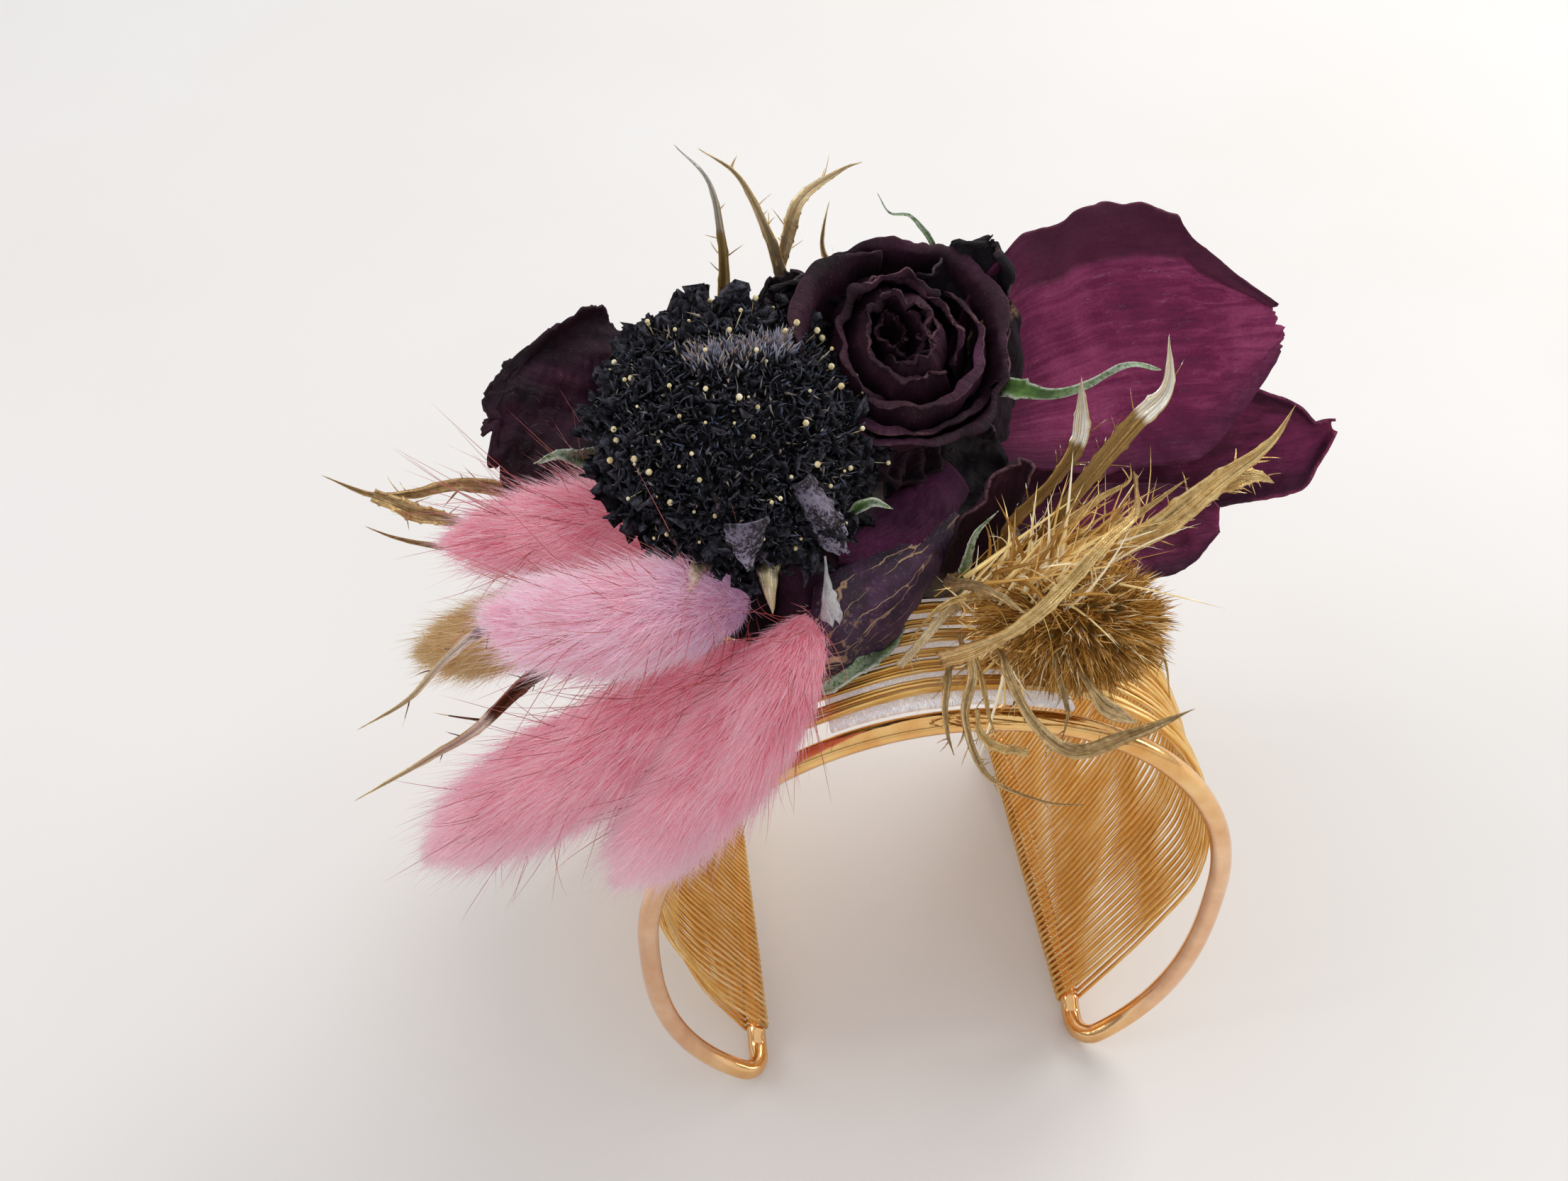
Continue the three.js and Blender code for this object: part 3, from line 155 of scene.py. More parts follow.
def sheetPart(grid, thick):
    # a sheet with two skins: grid ± normal · thick / 2, the skins meeting at all four edges
    normal = unit(np.cross(np.gradient(grid, axis=-3), np.gradient(grid, axis=-2)))
    half = normal * np.asarray(thick)[..., None] / 2
    flip = (Ellipsis, slice(None, None, -1), slice(None))
    skins = np.concatenate([grid + half, (grid - half)[flip]], axis=-2)
    edge = np.concatenate([grid, grid[flip]], axis=-2)
    points = np.concatenate([edge[..., :1, :, :], skins, edge[..., -1:, :, :]], axis=-3)
    rows, cols = grid.shape[-3:-1]
    along = np.clip(np.arange(-1, rows + 1), 0, rows - 1) / (rows - 1)
    across = np.concatenate([np.linspace(0, 1, cols), np.linspace(1, 0, cols)])
    uv = stacked(across[None], along[:, None])
    return gridPart(points, around=True, uv=uv)


def tubePart(path, side, up, radii, sides=8, closed=False):
    # ring i: path + radius · (side · cos + up · sin); an open tube ends in a point on the path
    turn = np.arange(sides) / sides * 2 * math.pi
    radii = np.broadcast_to(radii, len(path))[:, None, None]
    rings = path[:, None] + radii * swing(side[:, None], up[:, None], turn[:, None])
    if closed:
        rings = np.concatenate([rings, rings[:1]])
    else:
        caps = [np.repeat(path[k][None, None], sides, axis=1) for k in (0, -1)]
        rings = np.concatenate([caps[0], rings, caps[1]])
    return gridPart(rings, around=True)


def strandPart(roots, aims, lengths, radii, curls, steps=3, seed=1):
    # strand at share s: root + aim · length · s + curl · s²; a triangle across it narrows as (1 - s)^0.6
    chance = np.random.default_rng(seed)
    count = len(roots)
    s = np.linspace(0, 1, steps + 1)[None, :, None]
    lengths, radii = (np.broadcast_to(size, count)[:, None, None] for size in (lengths, radii))
    line = roots[:, None] + aims[:, None] * lengths * s + curls[:, None] * s ** 2
    across = unit(np.cross(aims, chance.normal(size=aims.shape)))
    other = np.cross(aims, across)
    turn = (np.arange(3) * 2 * math.pi / 3)[:, None]
    star = swing(across[:, None], other[:, None], turn)
    rings = line[:, :-1, None] + star[:, None] * (radii * (1 - s[:, :-1]) ** 0.6)[..., None]
    points = np.concatenate([rings.reshape(count, -1, 3), line[:, -1:]], 1)
    k = np.arange(3)
    band = np.stack([k, (k + 1) % 3, (k + 1) % 3 + 3, k + 3], 1)
    quads = np.concatenate([band + 3 * i for i in range(steps - 1)])
    last = 3 * (steps - 1)
    tris = np.concatenate([[[0, 2, 1]], np.stack([last + k, last + (k + 1) % 3, np.full(3, last + 3)], 1)])
    share = np.append(np.repeat(s[0, :-1, 0], 3), 1.0)
    luck = chance.uniform(0.02, 0.98, count)
    parts = []
    for one in (quads, tris):
        faces = (one + (np.arange(count) * points.shape[1])[:, None, None]).reshape(-1, one.shape[1])
        uv = stacked(luck[:, None, None], share[one][None])
        parts.append((faces, uv.reshape(-1, 2)))
    return points.reshape(-1, 3), parts


def addObject(name, data):  # an object of that name in the scene
    made = bpy.data.objects.new(name, data)
    bpy.context.scene.collection.objects.link(made)
    return made


def makePiece(name, parts, finish, node=None, weld=True):
    # one mesh from all parts; welding closes seams and poles and turns the faces outwards; the piece
    # stands for the CAD node that is given, or else for the one that its own name spells out
    loops, sizes, uvs, start = [], [], [], 0
    for points, groups in parts:
        for faces, uv in groups:
            loops.append((faces + start).ravel())
            sizes.append(np.full(len(faces), faces.shape[1]))
            uvs.append(uv)
        start += len(points)
    corners, sizes = np.concatenate(loops), np.concatenate(sizes)
    mesh = bpy.data.meshes.new(name)
    mesh.vertices.add(start)
    mesh.vertices.foreach_set("co", np.concatenate([part[0] for part in parts]).ravel())
    mesh.loops.add(len(corners))
    mesh.loops.foreach_set("vertex_index", corners.astype(np.int32))
    mesh.polygons.add(len(sizes))
    mesh.polygons.foreach_set("loop_start", np.concatenate([[0], np.cumsum(sizes)[:-1]]).astype(np.int32))
    mesh.uv_layers.new(name="UVMap").data.foreach_set("uv", np.concatenate(uvs).ravel())
    mesh.update(calc_edges=True)
    mesh.validate()
    if weld:
        work = bmesh.new()
        work.from_mesh(mesh)
        bmesh.ops.remove_doubles(work, verts=work.verts, dist=2e-6)
        bmesh.ops.recalc_face_normals(work, faces=work.faces)
        work.to_mesh(mesh)
        work.free()
    mesh.polygons.foreach_set("use_smooth", np.ones(len(mesh.polygons), bool))
    made, slot = finishes[finish]
    mesh.materials.append(made)
    piece = addObject(name, mesh)
    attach(piece, "root")
    node = node or re.sub("([A-Z]|[0-9]+)", r"_\1", name).lower()
    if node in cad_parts:
        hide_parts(node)
    return piece


# shader helpers
class Wire:  # one socket; arithmetic on it adds Math nodes
    def __init__(self, graph, socket):
        self.graph, self.socket = graph, socket

    def math(self, operation, first, second=0.0):
        return self.graph.node("Math", dict(operation=operation), {0: first, 1: second})

    def __add__(self, other): return self.math("ADD", self, other)
    def __radd__(self, other): return self.math("ADD", other, self)
    def __sub__(self, other): return self.math("SUBTRACT", self, other)
    def __rsub__(self, other): return self.math("SUBTRACT", other, self)
    def __mul__(self, other): return self.math("MULTIPLY", self, other)
    def __rmul__(self, other): return self.math("MULTIPLY", other, self)
    def __abs__(self): return self.math("ABSOLUTE", self)


class Graph:  # the node tree of one material
    def __init__(self, tree):
        self.tree = tree

    def node(self, kind, settings=None, values=None, out=0):
        made = self.tree.nodes.new("ShaderNode" + kind)
        for key, value in (settings or {}).items():
            if key == "stops":
                stops = made.color_ramp.elements
                stops.remove(stops[1])
                for index, (place, colour) in enumerate(value):
                    stop = stops.new(place) if index else stops[0]
                    stop.position, stop.color = place, tone(colour)
            else:
                setattr(made, key, value)
        for key, value in (values or {}).items():
            self.join(value, made.inputs[key])
        return Wire(self, made.outputs[out])

    def join(self, value, socket):
        if isinstance(value, Wire):
            self.tree.links.new(value.socket, socket)
        else:
            socket.default_value = tone(value) if isinstance(value, str) else value

    def place(self, kind="Object", scale=(1, 1, 1)):  # coordinates times scale
        where = self.node("TexCoord", out={"UV": 2, "Object": 3}[kind])
        return self.node("Mapping", {}, {"Vector": where, "Scale": scale})

    def noise(self, where, scale, detail=3.0, roughness=0.55, distortion=0.0):
        return self.node("TexNoise", {}, {"Vector": where, "Scale": scale, "Detail": detail,
                                          "Roughness": roughness, "Distortion": distortion})

    def ramp(self, value, *stops):
        return self.node("ValToRGB", dict(stops=stops), {"Fac": value})

    def step(self, value, low, high):  # 0 below low, 1 above high, smooth between
        return self.node("MapRange", dict(interpolation_type="SMOOTHSTEP"),
                         {"Value": value, "From Min": low, "From Max": high})

    def blend(self, share, first, second):
        return self.node("Mix", dict(data_type="RGBA"), {0: share, 6: first, 7: second}, out=2)

    def bump(self, height, depth):
        return self.node("Bump", {}, {"Height": height, "Distance": depth})

    def uvAxis(self, axis):  # one coordinate of the UV map
        return self.node("SeparateXYZ", {}, {"Vector": self.node("TexCoord", out=2)}, out=axis)


def tone(colour):  # six hex digits of a screen colour as linear red, green, blue and 1
    if not isinstance(colour, str):  # three linear shares
        return (*colour, 1)
    shares = [int(colour[k:k + 2], 16) / 255 for k in (0, 2, 4)]
    return (*(c / 12.92 if c < 0.04045 else ((c + 0.055) / 1.055) ** 2.4 for c in shares), 1)


def material(name, build):  # build(graph) gives what goes into the Principled shader
    made = bpy.data.materials.new(name)
    made.use_nodes = True
    graph = Graph(made.node_tree)
    shader = made.node_tree.nodes["Principled BSDF"]
    for key, value in build(graph).items():
        graph.join(value, shader.inputs[key])
    return made


# finishes
def roseGoldFinish(g):  # polished; rosy on the legs, yellower at the crown and the feet
    where = g.place()
    wear = g.noise(where, 260.0, 4.0)
    fine = g.noise(where, 2400.0, 2.0)
    height = g.node("SeparateXYZ", {}, {"Vector": where}, out=2)
    high = g.step(height, 0.03, 0.056) + g.step(height, 0.012, 0.003) * 0.7
    rosy = g.ramp(wear, (0.3, "e0ae88"), (0.7, "f5d0ac"))
    return {"Base Color": g.blend(high, rosy, g.ramp(wear, (0.3, "e2a660"), (0.7, "f6cc88"))),
            "Metallic": 1.0, "Roughness": 0.06 + wear * 0.08, "Normal": g.bump(fine, 0.00001)}


def goldWireFinish(g):  # streaks along the wire, and patches of brighter gold
    patch = g.noise(g.place(), 130.0, 3.0)
    streak = g.noise(g.place("UV", (3, 4000, 1)), 1.0, 2.0)
    colour = g.ramp(patch * 0.35 + streak * 0.65, (0.3, "d89e46"), (0.5, "f2c26e"), (0.7, "ffe9b8"))
    return {"Base Color": colour, "Metallic": 0.85, "Roughness": 0.2 + streak * 0.2}


def feltFinish(g):  # white threads round small cells of pale lavender; a painted glow, emission of its own colour, brightens the pad where the posy shades it
    where = g.place("UV", (60, 120, 1))
    cells = g.node("TexVoronoi", dict(feature="DISTANCE_TO_EDGE"), {"Vector": where, "Scale": 1.0})
    web = g.step(cells, 0.05, 0.2)
    cloud = g.noise(g.place(), 160.0, 4.0)
    colour = g.blend(web, "ffffff", g.ramp(cloud, (0.3, "f0eaf4"), (0.7, "fbf8fc")))
    # painted light: the emission is a glow that lifts the shaded pad
    return {"Base Color": colour, "Roughness": 0.92, "Emission Color": colour, "Emission Strength": 0.22,
            "Normal": g.bump(1 - web, 0.00012)}


def glueWithPaintedShadeFinish(g):  # dark brown-purple as painted shade, for its place in the posy's shadow, with paler lumps
    lump = g.noise(g.place(), 420.0, 5.0)
    return {"Base Color": g.ramp(lump, (0.35, "2c2226"), (0.65, "6c5c50")),
            "Roughness": 0.4 + lump * 0.25, "Normal": g.bump(lump, 0.0005), "Coat Weight": 0.3}


def floretFinish(g):  # almost black, with grey rims that are painted highlight, and grains of dust
    where = g.place()
    grain = g.noise(where, 1500.0, 6.0, 0.7)
    patch = g.noise(where, 260.0, 3.0)
    crumb = g.node("TexVoronoi", {}, {"Vector": where, "Scale": 950.0}, out=1)
    luck = g.node("SeparateColor", {}, {"Color": crumb})
    dark = g.ramp(patch * 0.5 + luck * 0.5,
                  (0.25, "050406"), (0.48, "0f0d11"), (0.64, "1d1c23"), (0.8, "3c353b"))
    # painted highlight: grey along the mouth of each floret
    rim = g.step(g.uvAxis(1), 0.72, 1.0) * g.step(grain, 0.42, 0.6)
    colour = g.blend(rim * 0.55, dark, "60606e")
    dust = g.step(grain, 0.58, 0.7) * 0.6
    return {"Base Color": g.blend(dust, colour, g.blend(luck, "5a647c", "7c6c72")), "Roughness": 0.8,
            "Specular IOR Level": 0.2, "Normal": g.bump(grain, 0.00035)}


def crumbFinish(g):  # each crumb's own chance picks black, slate or tan
    body = g.ramp(g.uvAxis(0), (0.1, "0c0a0e"), (0.42, "24242e"), (0.7, "566078"), (0.93, "9a8c80"))
    return {"Base Color": body, "Roughness": 0.75, "Specular IOR Level": 0.2}


def pollenFinish(g):  # cream grains
    grain = g.noise(g.place(), 1800.0, 3.0)
    return {"Base Color": g.ramp(grain, (0.35, "c8ac74"), (0.55, "efe2b4"), (0.7, "fbf6dc")),
            "Roughness": 0.7, "Normal": g.bump(grain, 0.00006)}


def tuftFinish(g):  # dark at the root, then each fibre's own grey or mauve
    luck = g.uvAxis(0)
    body = g.ramp(luck, (0.1, "747890"), (0.4, "b4b6c8"), (0.6, "8a7684"), (0.9, "b4a696"))
    return {"Base Color": g.blend(g.step(g.uvAxis(1), 0.0, 0.6), "26242e", body), "Roughness": 0.8}


def velvetFinish(deep, body, glow, rimTone, veins=0.5, rimWidth=0.04, patchScale=150.0, dust=0.3, shade=0.5,
                 foldShadeWidth=0.0, straight=False):
    # petal: veins run from the base, painted shade darkens it towards its edges and its base (shade = how
    # much), and its rim is dry; dust in flecks; foldShadeWidth = share of its width that is a dark strip of
    # painted shade along one edge, where it folds over
    def build(g):
        across, along = g.uvAxis(0), g.uvAxis(1)
        vein = g.noise(g.place("UV", (46, 2.4, 1)), 1.0, 4.0, 0.6, 0.3)
        if straight:  # far from the base they run level, and don't meet at the tip
            far = g.step(along, 0.25, 0.75)
            vein = vein * (1 - far) + g.noise(g.place(scale=(100, 1300, 1300)), 1.0, 4.0, 0.6, 0.4) * far
        patch = g.noise(g.place(), patchScale, 4.0)
        grain = g.noise(g.place(), 3200.0, 3.0, 0.7)
        light = patch * 0.65 + vein * 0.35 * veins + grain * 0.12
        colour = g.ramp(light, (0.34, deep), (0.52, body), (0.68, glow))
        fleck = g.step(g.noise(g.place("UV", (50, 9, 1)), 1.0, 5.0, 0.7, 1.5), 0.6, 0.74)
        colour = g.blend(fleck * dust, colour, "c9a9b0")
        border = abs(across * 2 - 1)
        # painted shade: darker towards the edges, then towards the base, as much as shade says
        colour = g.blend(g.step(border + (patch - 0.5) * 0.5, 0.45, 1.05) * shade, colour, deep)
        colour = g.blend(g.step(along + (patch - 0.5) * 0.4, 0.35, -0.05) * shade, colour, deep)
        # painted shade of the fold: a dark strip along one edge
        if foldShadeWidth:
            strip = g.step(across + (patch - 0.5) * 0.06, foldShadeWidth, foldShadeWidth - 0.03)
            strip = strip * g.step(along, 0.22, 0.34)
            colour = g.blend(strip * 0.8, colour, g.blend(vein, deep, "52182e"))
        rim = g.step(g.node("Math", dict(operation="MAXIMUM"), {0: border, 1: along}), 1 - rimWidth, 1.0)
        colour = g.blend(rim * g.step(grain, 0.3, 0.6) * g.step(patch, 0.44, 0.6), colour, rimTone)
        return {"Base Color": colour, "Roughness": 0.62 + patch * 0.2, "Specular IOR Level": 0.3,
                "Sheen Weight": 0.2, "Sheen Roughness": 0.4, "Sheen Tint": glow,
                "Normal": g.bump(vein * 0.8 + grain * 0.3 + patch * 0.8, 0.00035)}
    return build


def budFinish(g):  # cream lines follow long cells, and freckles gather at the far end
    where, across, along = g.place(), g.uvAxis(0), g.uvAxis(1)
    bent = g.node("TexNoise", {}, {"Vector": where, "Scale": 330.0, "Detail": 3.0}, out=1)
    seat = g.node("VectorMath", dict(operation="MULTIPLY_ADD"),
                  {0: bent, 1: (0.9, 0.9, 0.0), 2: g.place("UV", (7, 1.3, 1))})
    cells = g.node("TexVoronoi", dict(feature="DISTANCE_TO_EDGE"), {"Vector": seat, "Scale": 1.0})
    patch = g.noise(where, 260.0, 4.0)
    grain = g.noise(where, 3000.0, 3.0, 0.7)
    some = g.step(g.noise(where, 200.0, 2.0) + across * 0.2 + along * 0.12, 0.58, 0.7)
    thin = (1 - g.step(cells, 0.012, 0.05)) * some
    freckle = g.step(g.noise(where, 900.0, 4.0), 0.56, 0.66)
    freckle = freckle * g.step(along + (patch - 0.5) * 0.4, 0.55, 0.85)
    colour = g.ramp(patch, (0.32, "190a17"), (0.5, "33142e"), (0.68, "4e2a4a"))
    colour = g.blend(g.step(grain, 0.56, 0.66) * 0.3, colour, "84769a")
    colour = g.blend(thin * 0.8, colour, "cfa888")
    colour = g.blend(freckle * 0.55, colour, "b89070")
    return {"Base Color": colour, "Roughness": 0.72, "Sheen Weight": 0.2, "Sheen Tint": "7c6898",
            "Normal": g.bump(grain * 0.4 + thin + patch, 0.0003)}


def dustedFinish(g):  # dark scale with lilac grains that thin out towards its base
    where = g.place()
    grain = g.noise(where, 2600.0, 4.0, 0.75)
    patch = g.noise(where, 420.0, 3.0)
    dust = g.step(grain + (patch - 0.5) * 0.6, 0.46, 0.6) * (0.35 + g.uvAxis(1) * 0.6)
    colour = g.blend(g.step(patch, 0.4, 0.62), "141017", "37293a")
    return {"Base Color": g.blend(dust, colour, "a8a0b6"), "Roughness": 0.85,
            "Normal": g.bump(grain, 0.0003)}


def furFinish(root, body, tip, pale, odd=0.2, glow=0.13, fade=None):
    # hairs: dark at the root, pale at the tip; the first UV axis is each hair's own chance; a painted glow,
    # emission of the hair's own colour at strength glow, stands in for light passing through the hairs;
    # fade = axis, two places along it, share and colour of one end
    def build(g):
        luck, along = g.uvAxis(0), g.uvAxis(1)
        patch = g.noise(g.place(), 190.0, 2.0)
        shade = g.blend(g.step(patch, 0.35, 0.65), body, tip)
        shade = g.blend(g.step(along, 0.45, 1.0) * g.step(luck, odd, 1.0), shade, pale)
        colour = g.blend(g.step(along, 0.0, 0.5), root, shade)
        if fade:
            axis, low, high, share, end = fade
            gone = g.node("SeparateXYZ", {}, {"Vector": g.place()}, out=axis)
            colour = g.blend(g.step(gone + (patch - 0.5) * 0.006, low, high) * share, colour, end)
        # painted light: the emission is a glow of the hair's own colour
        return {"Base Color": colour, "Roughness": 0.6, "Sheen Weight": 0.3, "Sheen Tint": pale,
                "Emission Color": colour, "Emission Strength": glow}
    return build


def bristleFinish(g):  # dark at the root, then each bristle's own gold; the almost white ones are painted glints, and all get a painted glow
    luck, along = g.uvAxis(0), g.uvAxis(1)
    body = g.ramp(luck, (0.1, "7a5020"), (0.5, "ac7a38"), (0.85, "d8a658"), (0.96, "fff0c8"))
    return {"Base Color": g.blend(g.step(along, 0.0, 0.5), "563814", body), "Roughness": 0.8,
            "Specular IOR Level": 0.03, "Emission Color": body, "Emission Strength": 0.1}


def strawFinish(g):  # each straw's own gold, a little shiny, with a painted glow
    body = g.ramp(g.uvAxis(0), (0.1, "9c6e30"), (0.35, "d6a658"), (0.65, "f6d890"), (0.9, "fff6d8"))
    return {"Base Color": body, "Metallic": 0.25, "Roughness": 0.25,
            "Emission Color": body, "Emission Strength": 0.16}


def giltFinish(brown, gold, bright, green=0.2, cover=0.42, stalk=None):
    # satin gold over a ribbed dry bract: streaks run along it, and it thins out in a few long patches;
    # stalk = share of its length with two tones of its own; right after that it is almost white
    def build(g):
        where = g.place()
        rib = g.noise(g.place("UV", (16, 1.6, 1)), 1.0, 4.0, 0.6)
        worn = g.noise(g.place("UV", (3.5, 3, 1)), 1.0, 4.0, 0.6)
        leaf = g.noise(where, 1500.0, 3.0, 0.65)
        shine = g.step(worn + (leaf - 0.5) * 0.25, cover - 0.16, cover + 0.1)
        under = g.blend(g.step(g.noise(where, 150.0, 2.0), 0.5, 0.7) * green, brown, "7c8250")
        colour = g.blend(shine, under, g.ramp(rib + (leaf - 0.5) * 0.3, (0.36, gold), (0.64, bright)))
        if stalk:
            share, low, high = stalk
            along = g.uvAxis(1) + (worn - 0.5) * 0.1
            pale = g.blend(g.step(rib, 0.36, 0.54), "d4b070", "fffcf2")
            colour = g.blend(g.step(along, share + 0.26, share), colour, pale)
            colour = g.blend(g.step(along, share, share - 0.03), colour, g.blend(rib, low, high))
        return {"Base Color": colour, "Metallic": 0.3 + shine * 0.5, "Roughness": 0.4 - shine * 0.14,
                "Normal": g.bump(rib + leaf * 0.3, 0.00022)}
    return build


def sepalFinish(g):  # green, with pale hairs towards the tip and the edges
    across = abs(g.uvAxis(0) * 2 - 1)
    patch = g.noise(g.place(), 380.0, 4.0)
    hair = g.noise(g.place(), 2600.0, 3.0, 0.7)
    colour = g.ramp(patch, (0.35, "3a5424"), (0.55, "5c8238"), (0.7, "90ac6c"))
    colour = g.blend(g.step(g.uvAxis(1), 0.25, 0.7) * g.step(hair, 0.3, 0.6) * 0.75, colour, "c4d0bc")
    edge = g.step(across, 0.72, 1.0) * g.step(hair, 0.32, 0.55)
    return {"Base Color": g.blend(edge * 0.7, colour, "d6d8cc"), "Roughness": 0.75,
            "Normal": g.bump(hair, 0.0002)}


def stemFinish(g):  # brown ribs along the stem
    rib = g.noise(g.place("UV", (14, 3, 1)), 1.0, 4.0)
    return {"Base Color": g.ramp(rib, (0.35, "3f3a22"), (0.65, "7c7348")), "Roughness": 0.8,
            "Normal": g.bump(rib, 0.0002)}


def whiteBractFinish(g):  # white wool over grey ribs
    rib = g.noise(g.place("UV", (26, 3, 1)), 1.0, 4.0, 0.7)
    wool = g.noise(g.place(), 2200.0, 4.0, 0.75)
    colour = g.ramp(rib * 0.5 + wool * 0.5, (0.3, "6c6878"), (0.42, "dcdae2"), (0.52, "ffffff"))
    return {"Base Color": colour, "Roughness": 0.8, "Normal": g.bump(rib + wool, 0.0003)}


finishes = {finish: (material(finish, build), slot) for slot, group in dict(
    frame_metal=dict(roseGold=roseGoldFinish),
    winding_metal=dict(goldWire=goldWireFinish),
    backing_felt=dict(felt=feltFinish),
    floral_glue=dict(glue=glueWithPaintedShadeFinish),
    black_florets=dict(floret=floretFinish, crumb=crumbFinish, pollen=pollenFinish, tuft=tuftFinish,
                       lilac=dustedFinish),
    dark_petals=dict(
        rose=velvetFinish("16080f", "391729", "6a3e5c", "6c4c52", 0.45, 0.012, 150, 0.25),
        dark=velvetFinish("170812", "3a172c", "6a3840", "2c141c", 0.3, 0.03, 200, 0.35, 0.4),
        black=velvetFinish("0c080d", "1a1018", "33222f", "5c4a52", 0.3, 0.02, 230, 0.2),
        burnt=velvetFinish("120a10", "2a1826", "54405c", "c49a74", 0.3, 0.07, 200, 0.25),
        magenta=velvetFinish("2c0e26", "5a1c48", "8a3a70", "a88090", 0.6, 0.03, 120, 0.5),
        bud=budFinish),
    plum_petals=dict(
        plum=velvetFinish("3c1030", "7c2050", "b4507e", "5a1c34", 1, 0.012, 55, 0.5, 0.75, 0.2, True),
        plumSide=velvetFinish("2c0c24", "581838", "8c3060", "8a3458", 1, 0.03, 55, 0.5, 0.85,
                              straight=True)),
    pink_fur=dict(
        pinkFur=furFinish("d8647e", "f090a6", "fab0c0", "ffecf2", 0.1, 0.14,
                          (2, 0.061, 0.05, 0.8, "ffd8e2")),
        paleFur=furFinish("dc8ea6", "f6b4c8", "fccade", "fffafd", 0.05, 0.15,
                          (0, -0.023, -0.013, 0.6, "b898c0")),
        awn=furFinish("b04c50", "c06464", "b85858", "e8a898", 0.6, 0)),
    gold_fur=dict(goldFur=furFinish("865e2e", "c09458", "d8ac70", "f6e2ba")),
    thistle_bristle=dict(bristle=bristleFinish, straw=strawFinish),
    gilded_blade=dict(
        gilt=giltFinish("7a5620", "ca9848", "ffe8ac"),
        # painted light: a brighter copy of the gilt for the top blades, which face away from the lamps
        paintedLightGilt=giltFinish("b08440", "f0c47c", "fff6d8", 0.1, 0.28),
        brownGilt=giltFinish("6c4e2a", "b48a50", "f0d8a4", 0.3, 0.46),
        paleGilt=giltFinish("b08c48", "e6c888", "fff6dc", 0.1, 0.35),
        silver=giltFinish("c8bca0", "f0ece4", "ffffff", 0.1, 0.3, (0.76, "a8843c", "f4d894")),
        tipped=giltFinish("8a6428", "e0b868", "fff2cc", 0.1, 0.4, (0.72, "3a2016", "7c4c34")),
        lance=giltFinish("a88c5c", "e0c48c", "fff8e4", 0.1, 0.3, (0.76, "5e4424", "be985a"))),
    green_sepal=dict(sepal=sepalFinish),
    stem_fibre=dict(stem=stemFinish),
    pale_bract=dict(wool=whiteBractFinish, paleScale=giltFinish("b08c48", "e6c888", "fff6dc", 0.1, 0.35)),
).items() for finish, build in group.items()}
print("finishes made")


# cuff: frame wire
def railLine(count=160):  # half circle above the belt, |sin|^(2/p), |cos|^(2/p) below it
    half, power = cuff["width"] / 2, 2 / cuff["legPower"]
    footAngle = math.pi - math.asin((cuff["mouth"] / cuff["width"]) ** (cuff["legPower"] / 2))
    drop = (beltZ - cuff["footZ"]) / abs(math.cos(footAngle)) ** power
    angle = np.linspace(0, footAngle, count)
    above = angle <= math.pi / 2
    across = np.where(above, np.sin(angle), np.abs(np.sin(angle)) ** power) * half
    high = np.where(above, half * np.cos(angle), -drop * np.abs(np.cos(angle)) ** power)
    return evenly(np.stack([across, np.zeros(count), beltZ + high], 1), count)


rail = railLine()
footX = rail[-1, 0]
solidTurn = dict(rail=1.2 * mm, gap=0.3 * mm, wire=0.35 * mm)  # a turn of the winding's solid form
turnRadius = solidTurn["rail"] + solidTurn["gap"] + solidTurn["wire"]
railLift = turnRadius + solidTurn["wire"] + 0.1 * mm - cuff["footZ"]  # it clears the table by 0.1 mm


def frameLoop():
    # quarter: rail, round corner of radius bend, end rail lifting off its foot; mirrored three times
    front, bend = -cuff["depth"] / 2, cuff["bend"]
    foot = rail[-1]
    slope = unit(foot - rail[-2])
    keep = rail[np.linalg.norm(rail - foot, axis=1) > bend] + [0, front, 0]
    turn = np.linspace(0, math.pi / 2, 9)[1:, None]
    corner = foot + [0, front, 0] - slope * bend * (1 - np.sin(turn))
    corner = corner + np.array([0, bend, 0]) * (1 - np.cos(turn))
    start = front + bend
    reach = np.linspace(0.15 * mm, -start, 30)
    lift = ease((reach - cuff["foot"]) / cuff["ramp"]) * railLift
    straight = np.stack([np.full(30, foot[0]), start + reach, foot[2] + lift], 1)
    quarter = np.concatenate([keep, corner, straight])
    loop = np.concatenate([(quarter * [x, y, 1])[::x * y][:-1]
                           for x, y in ((1, 1), (1, -1), (-1, -1), (-1, 1))])
    return evenly(np.concatenate([loop, loop[:1]]), 620)[:-1] + ground


def carriedFrame(path):  # side and up carried along a closed path, so that the tube never twists
    tangent = unit(np.roll(path, -1, 0) - np.roll(path, 1, 0))
    side = np.zeros_like(path)
    side[0] = [0, 1, 0]
    for i in range(1, len(path)):
        side[i] = side[i - 1] - tangent[i] * (side[i - 1] @ tangent[i])
        side[i] /= np.linalg.norm(side[i])
    slip = math.atan2(np.cross(side[-1], side[0]) @ tangent[0], side[-1] @ side[0])
    turn = (np.arange(len(path)) / (len(path) - 1) * slip)[:, None]
    side = swing(side, np.cross(tangent, side), turn)
    return side, np.cross(side, tangent)


loop = frameLoop()
loopSide, loopUp = carriedFrame(loop)
makePiece("frameWire", [tubePart(loop, loopSide, loopUp, cuff["wire"] / 2, 18, closed=True)], "roseGold")
print("frame wire made")

# cuff: fine winding, one unbroken wire
winding = dict(wire=0.46 * mm, passes=105, reach=23.7 * mm, footReach=20.5 * mm, rise=1.6 * mm,
               tuck=1.4 * mm, drift=0.35 * mm, bulge=0.4 * mm, bunch=0.6 * mm, layer=0.2 * mm)


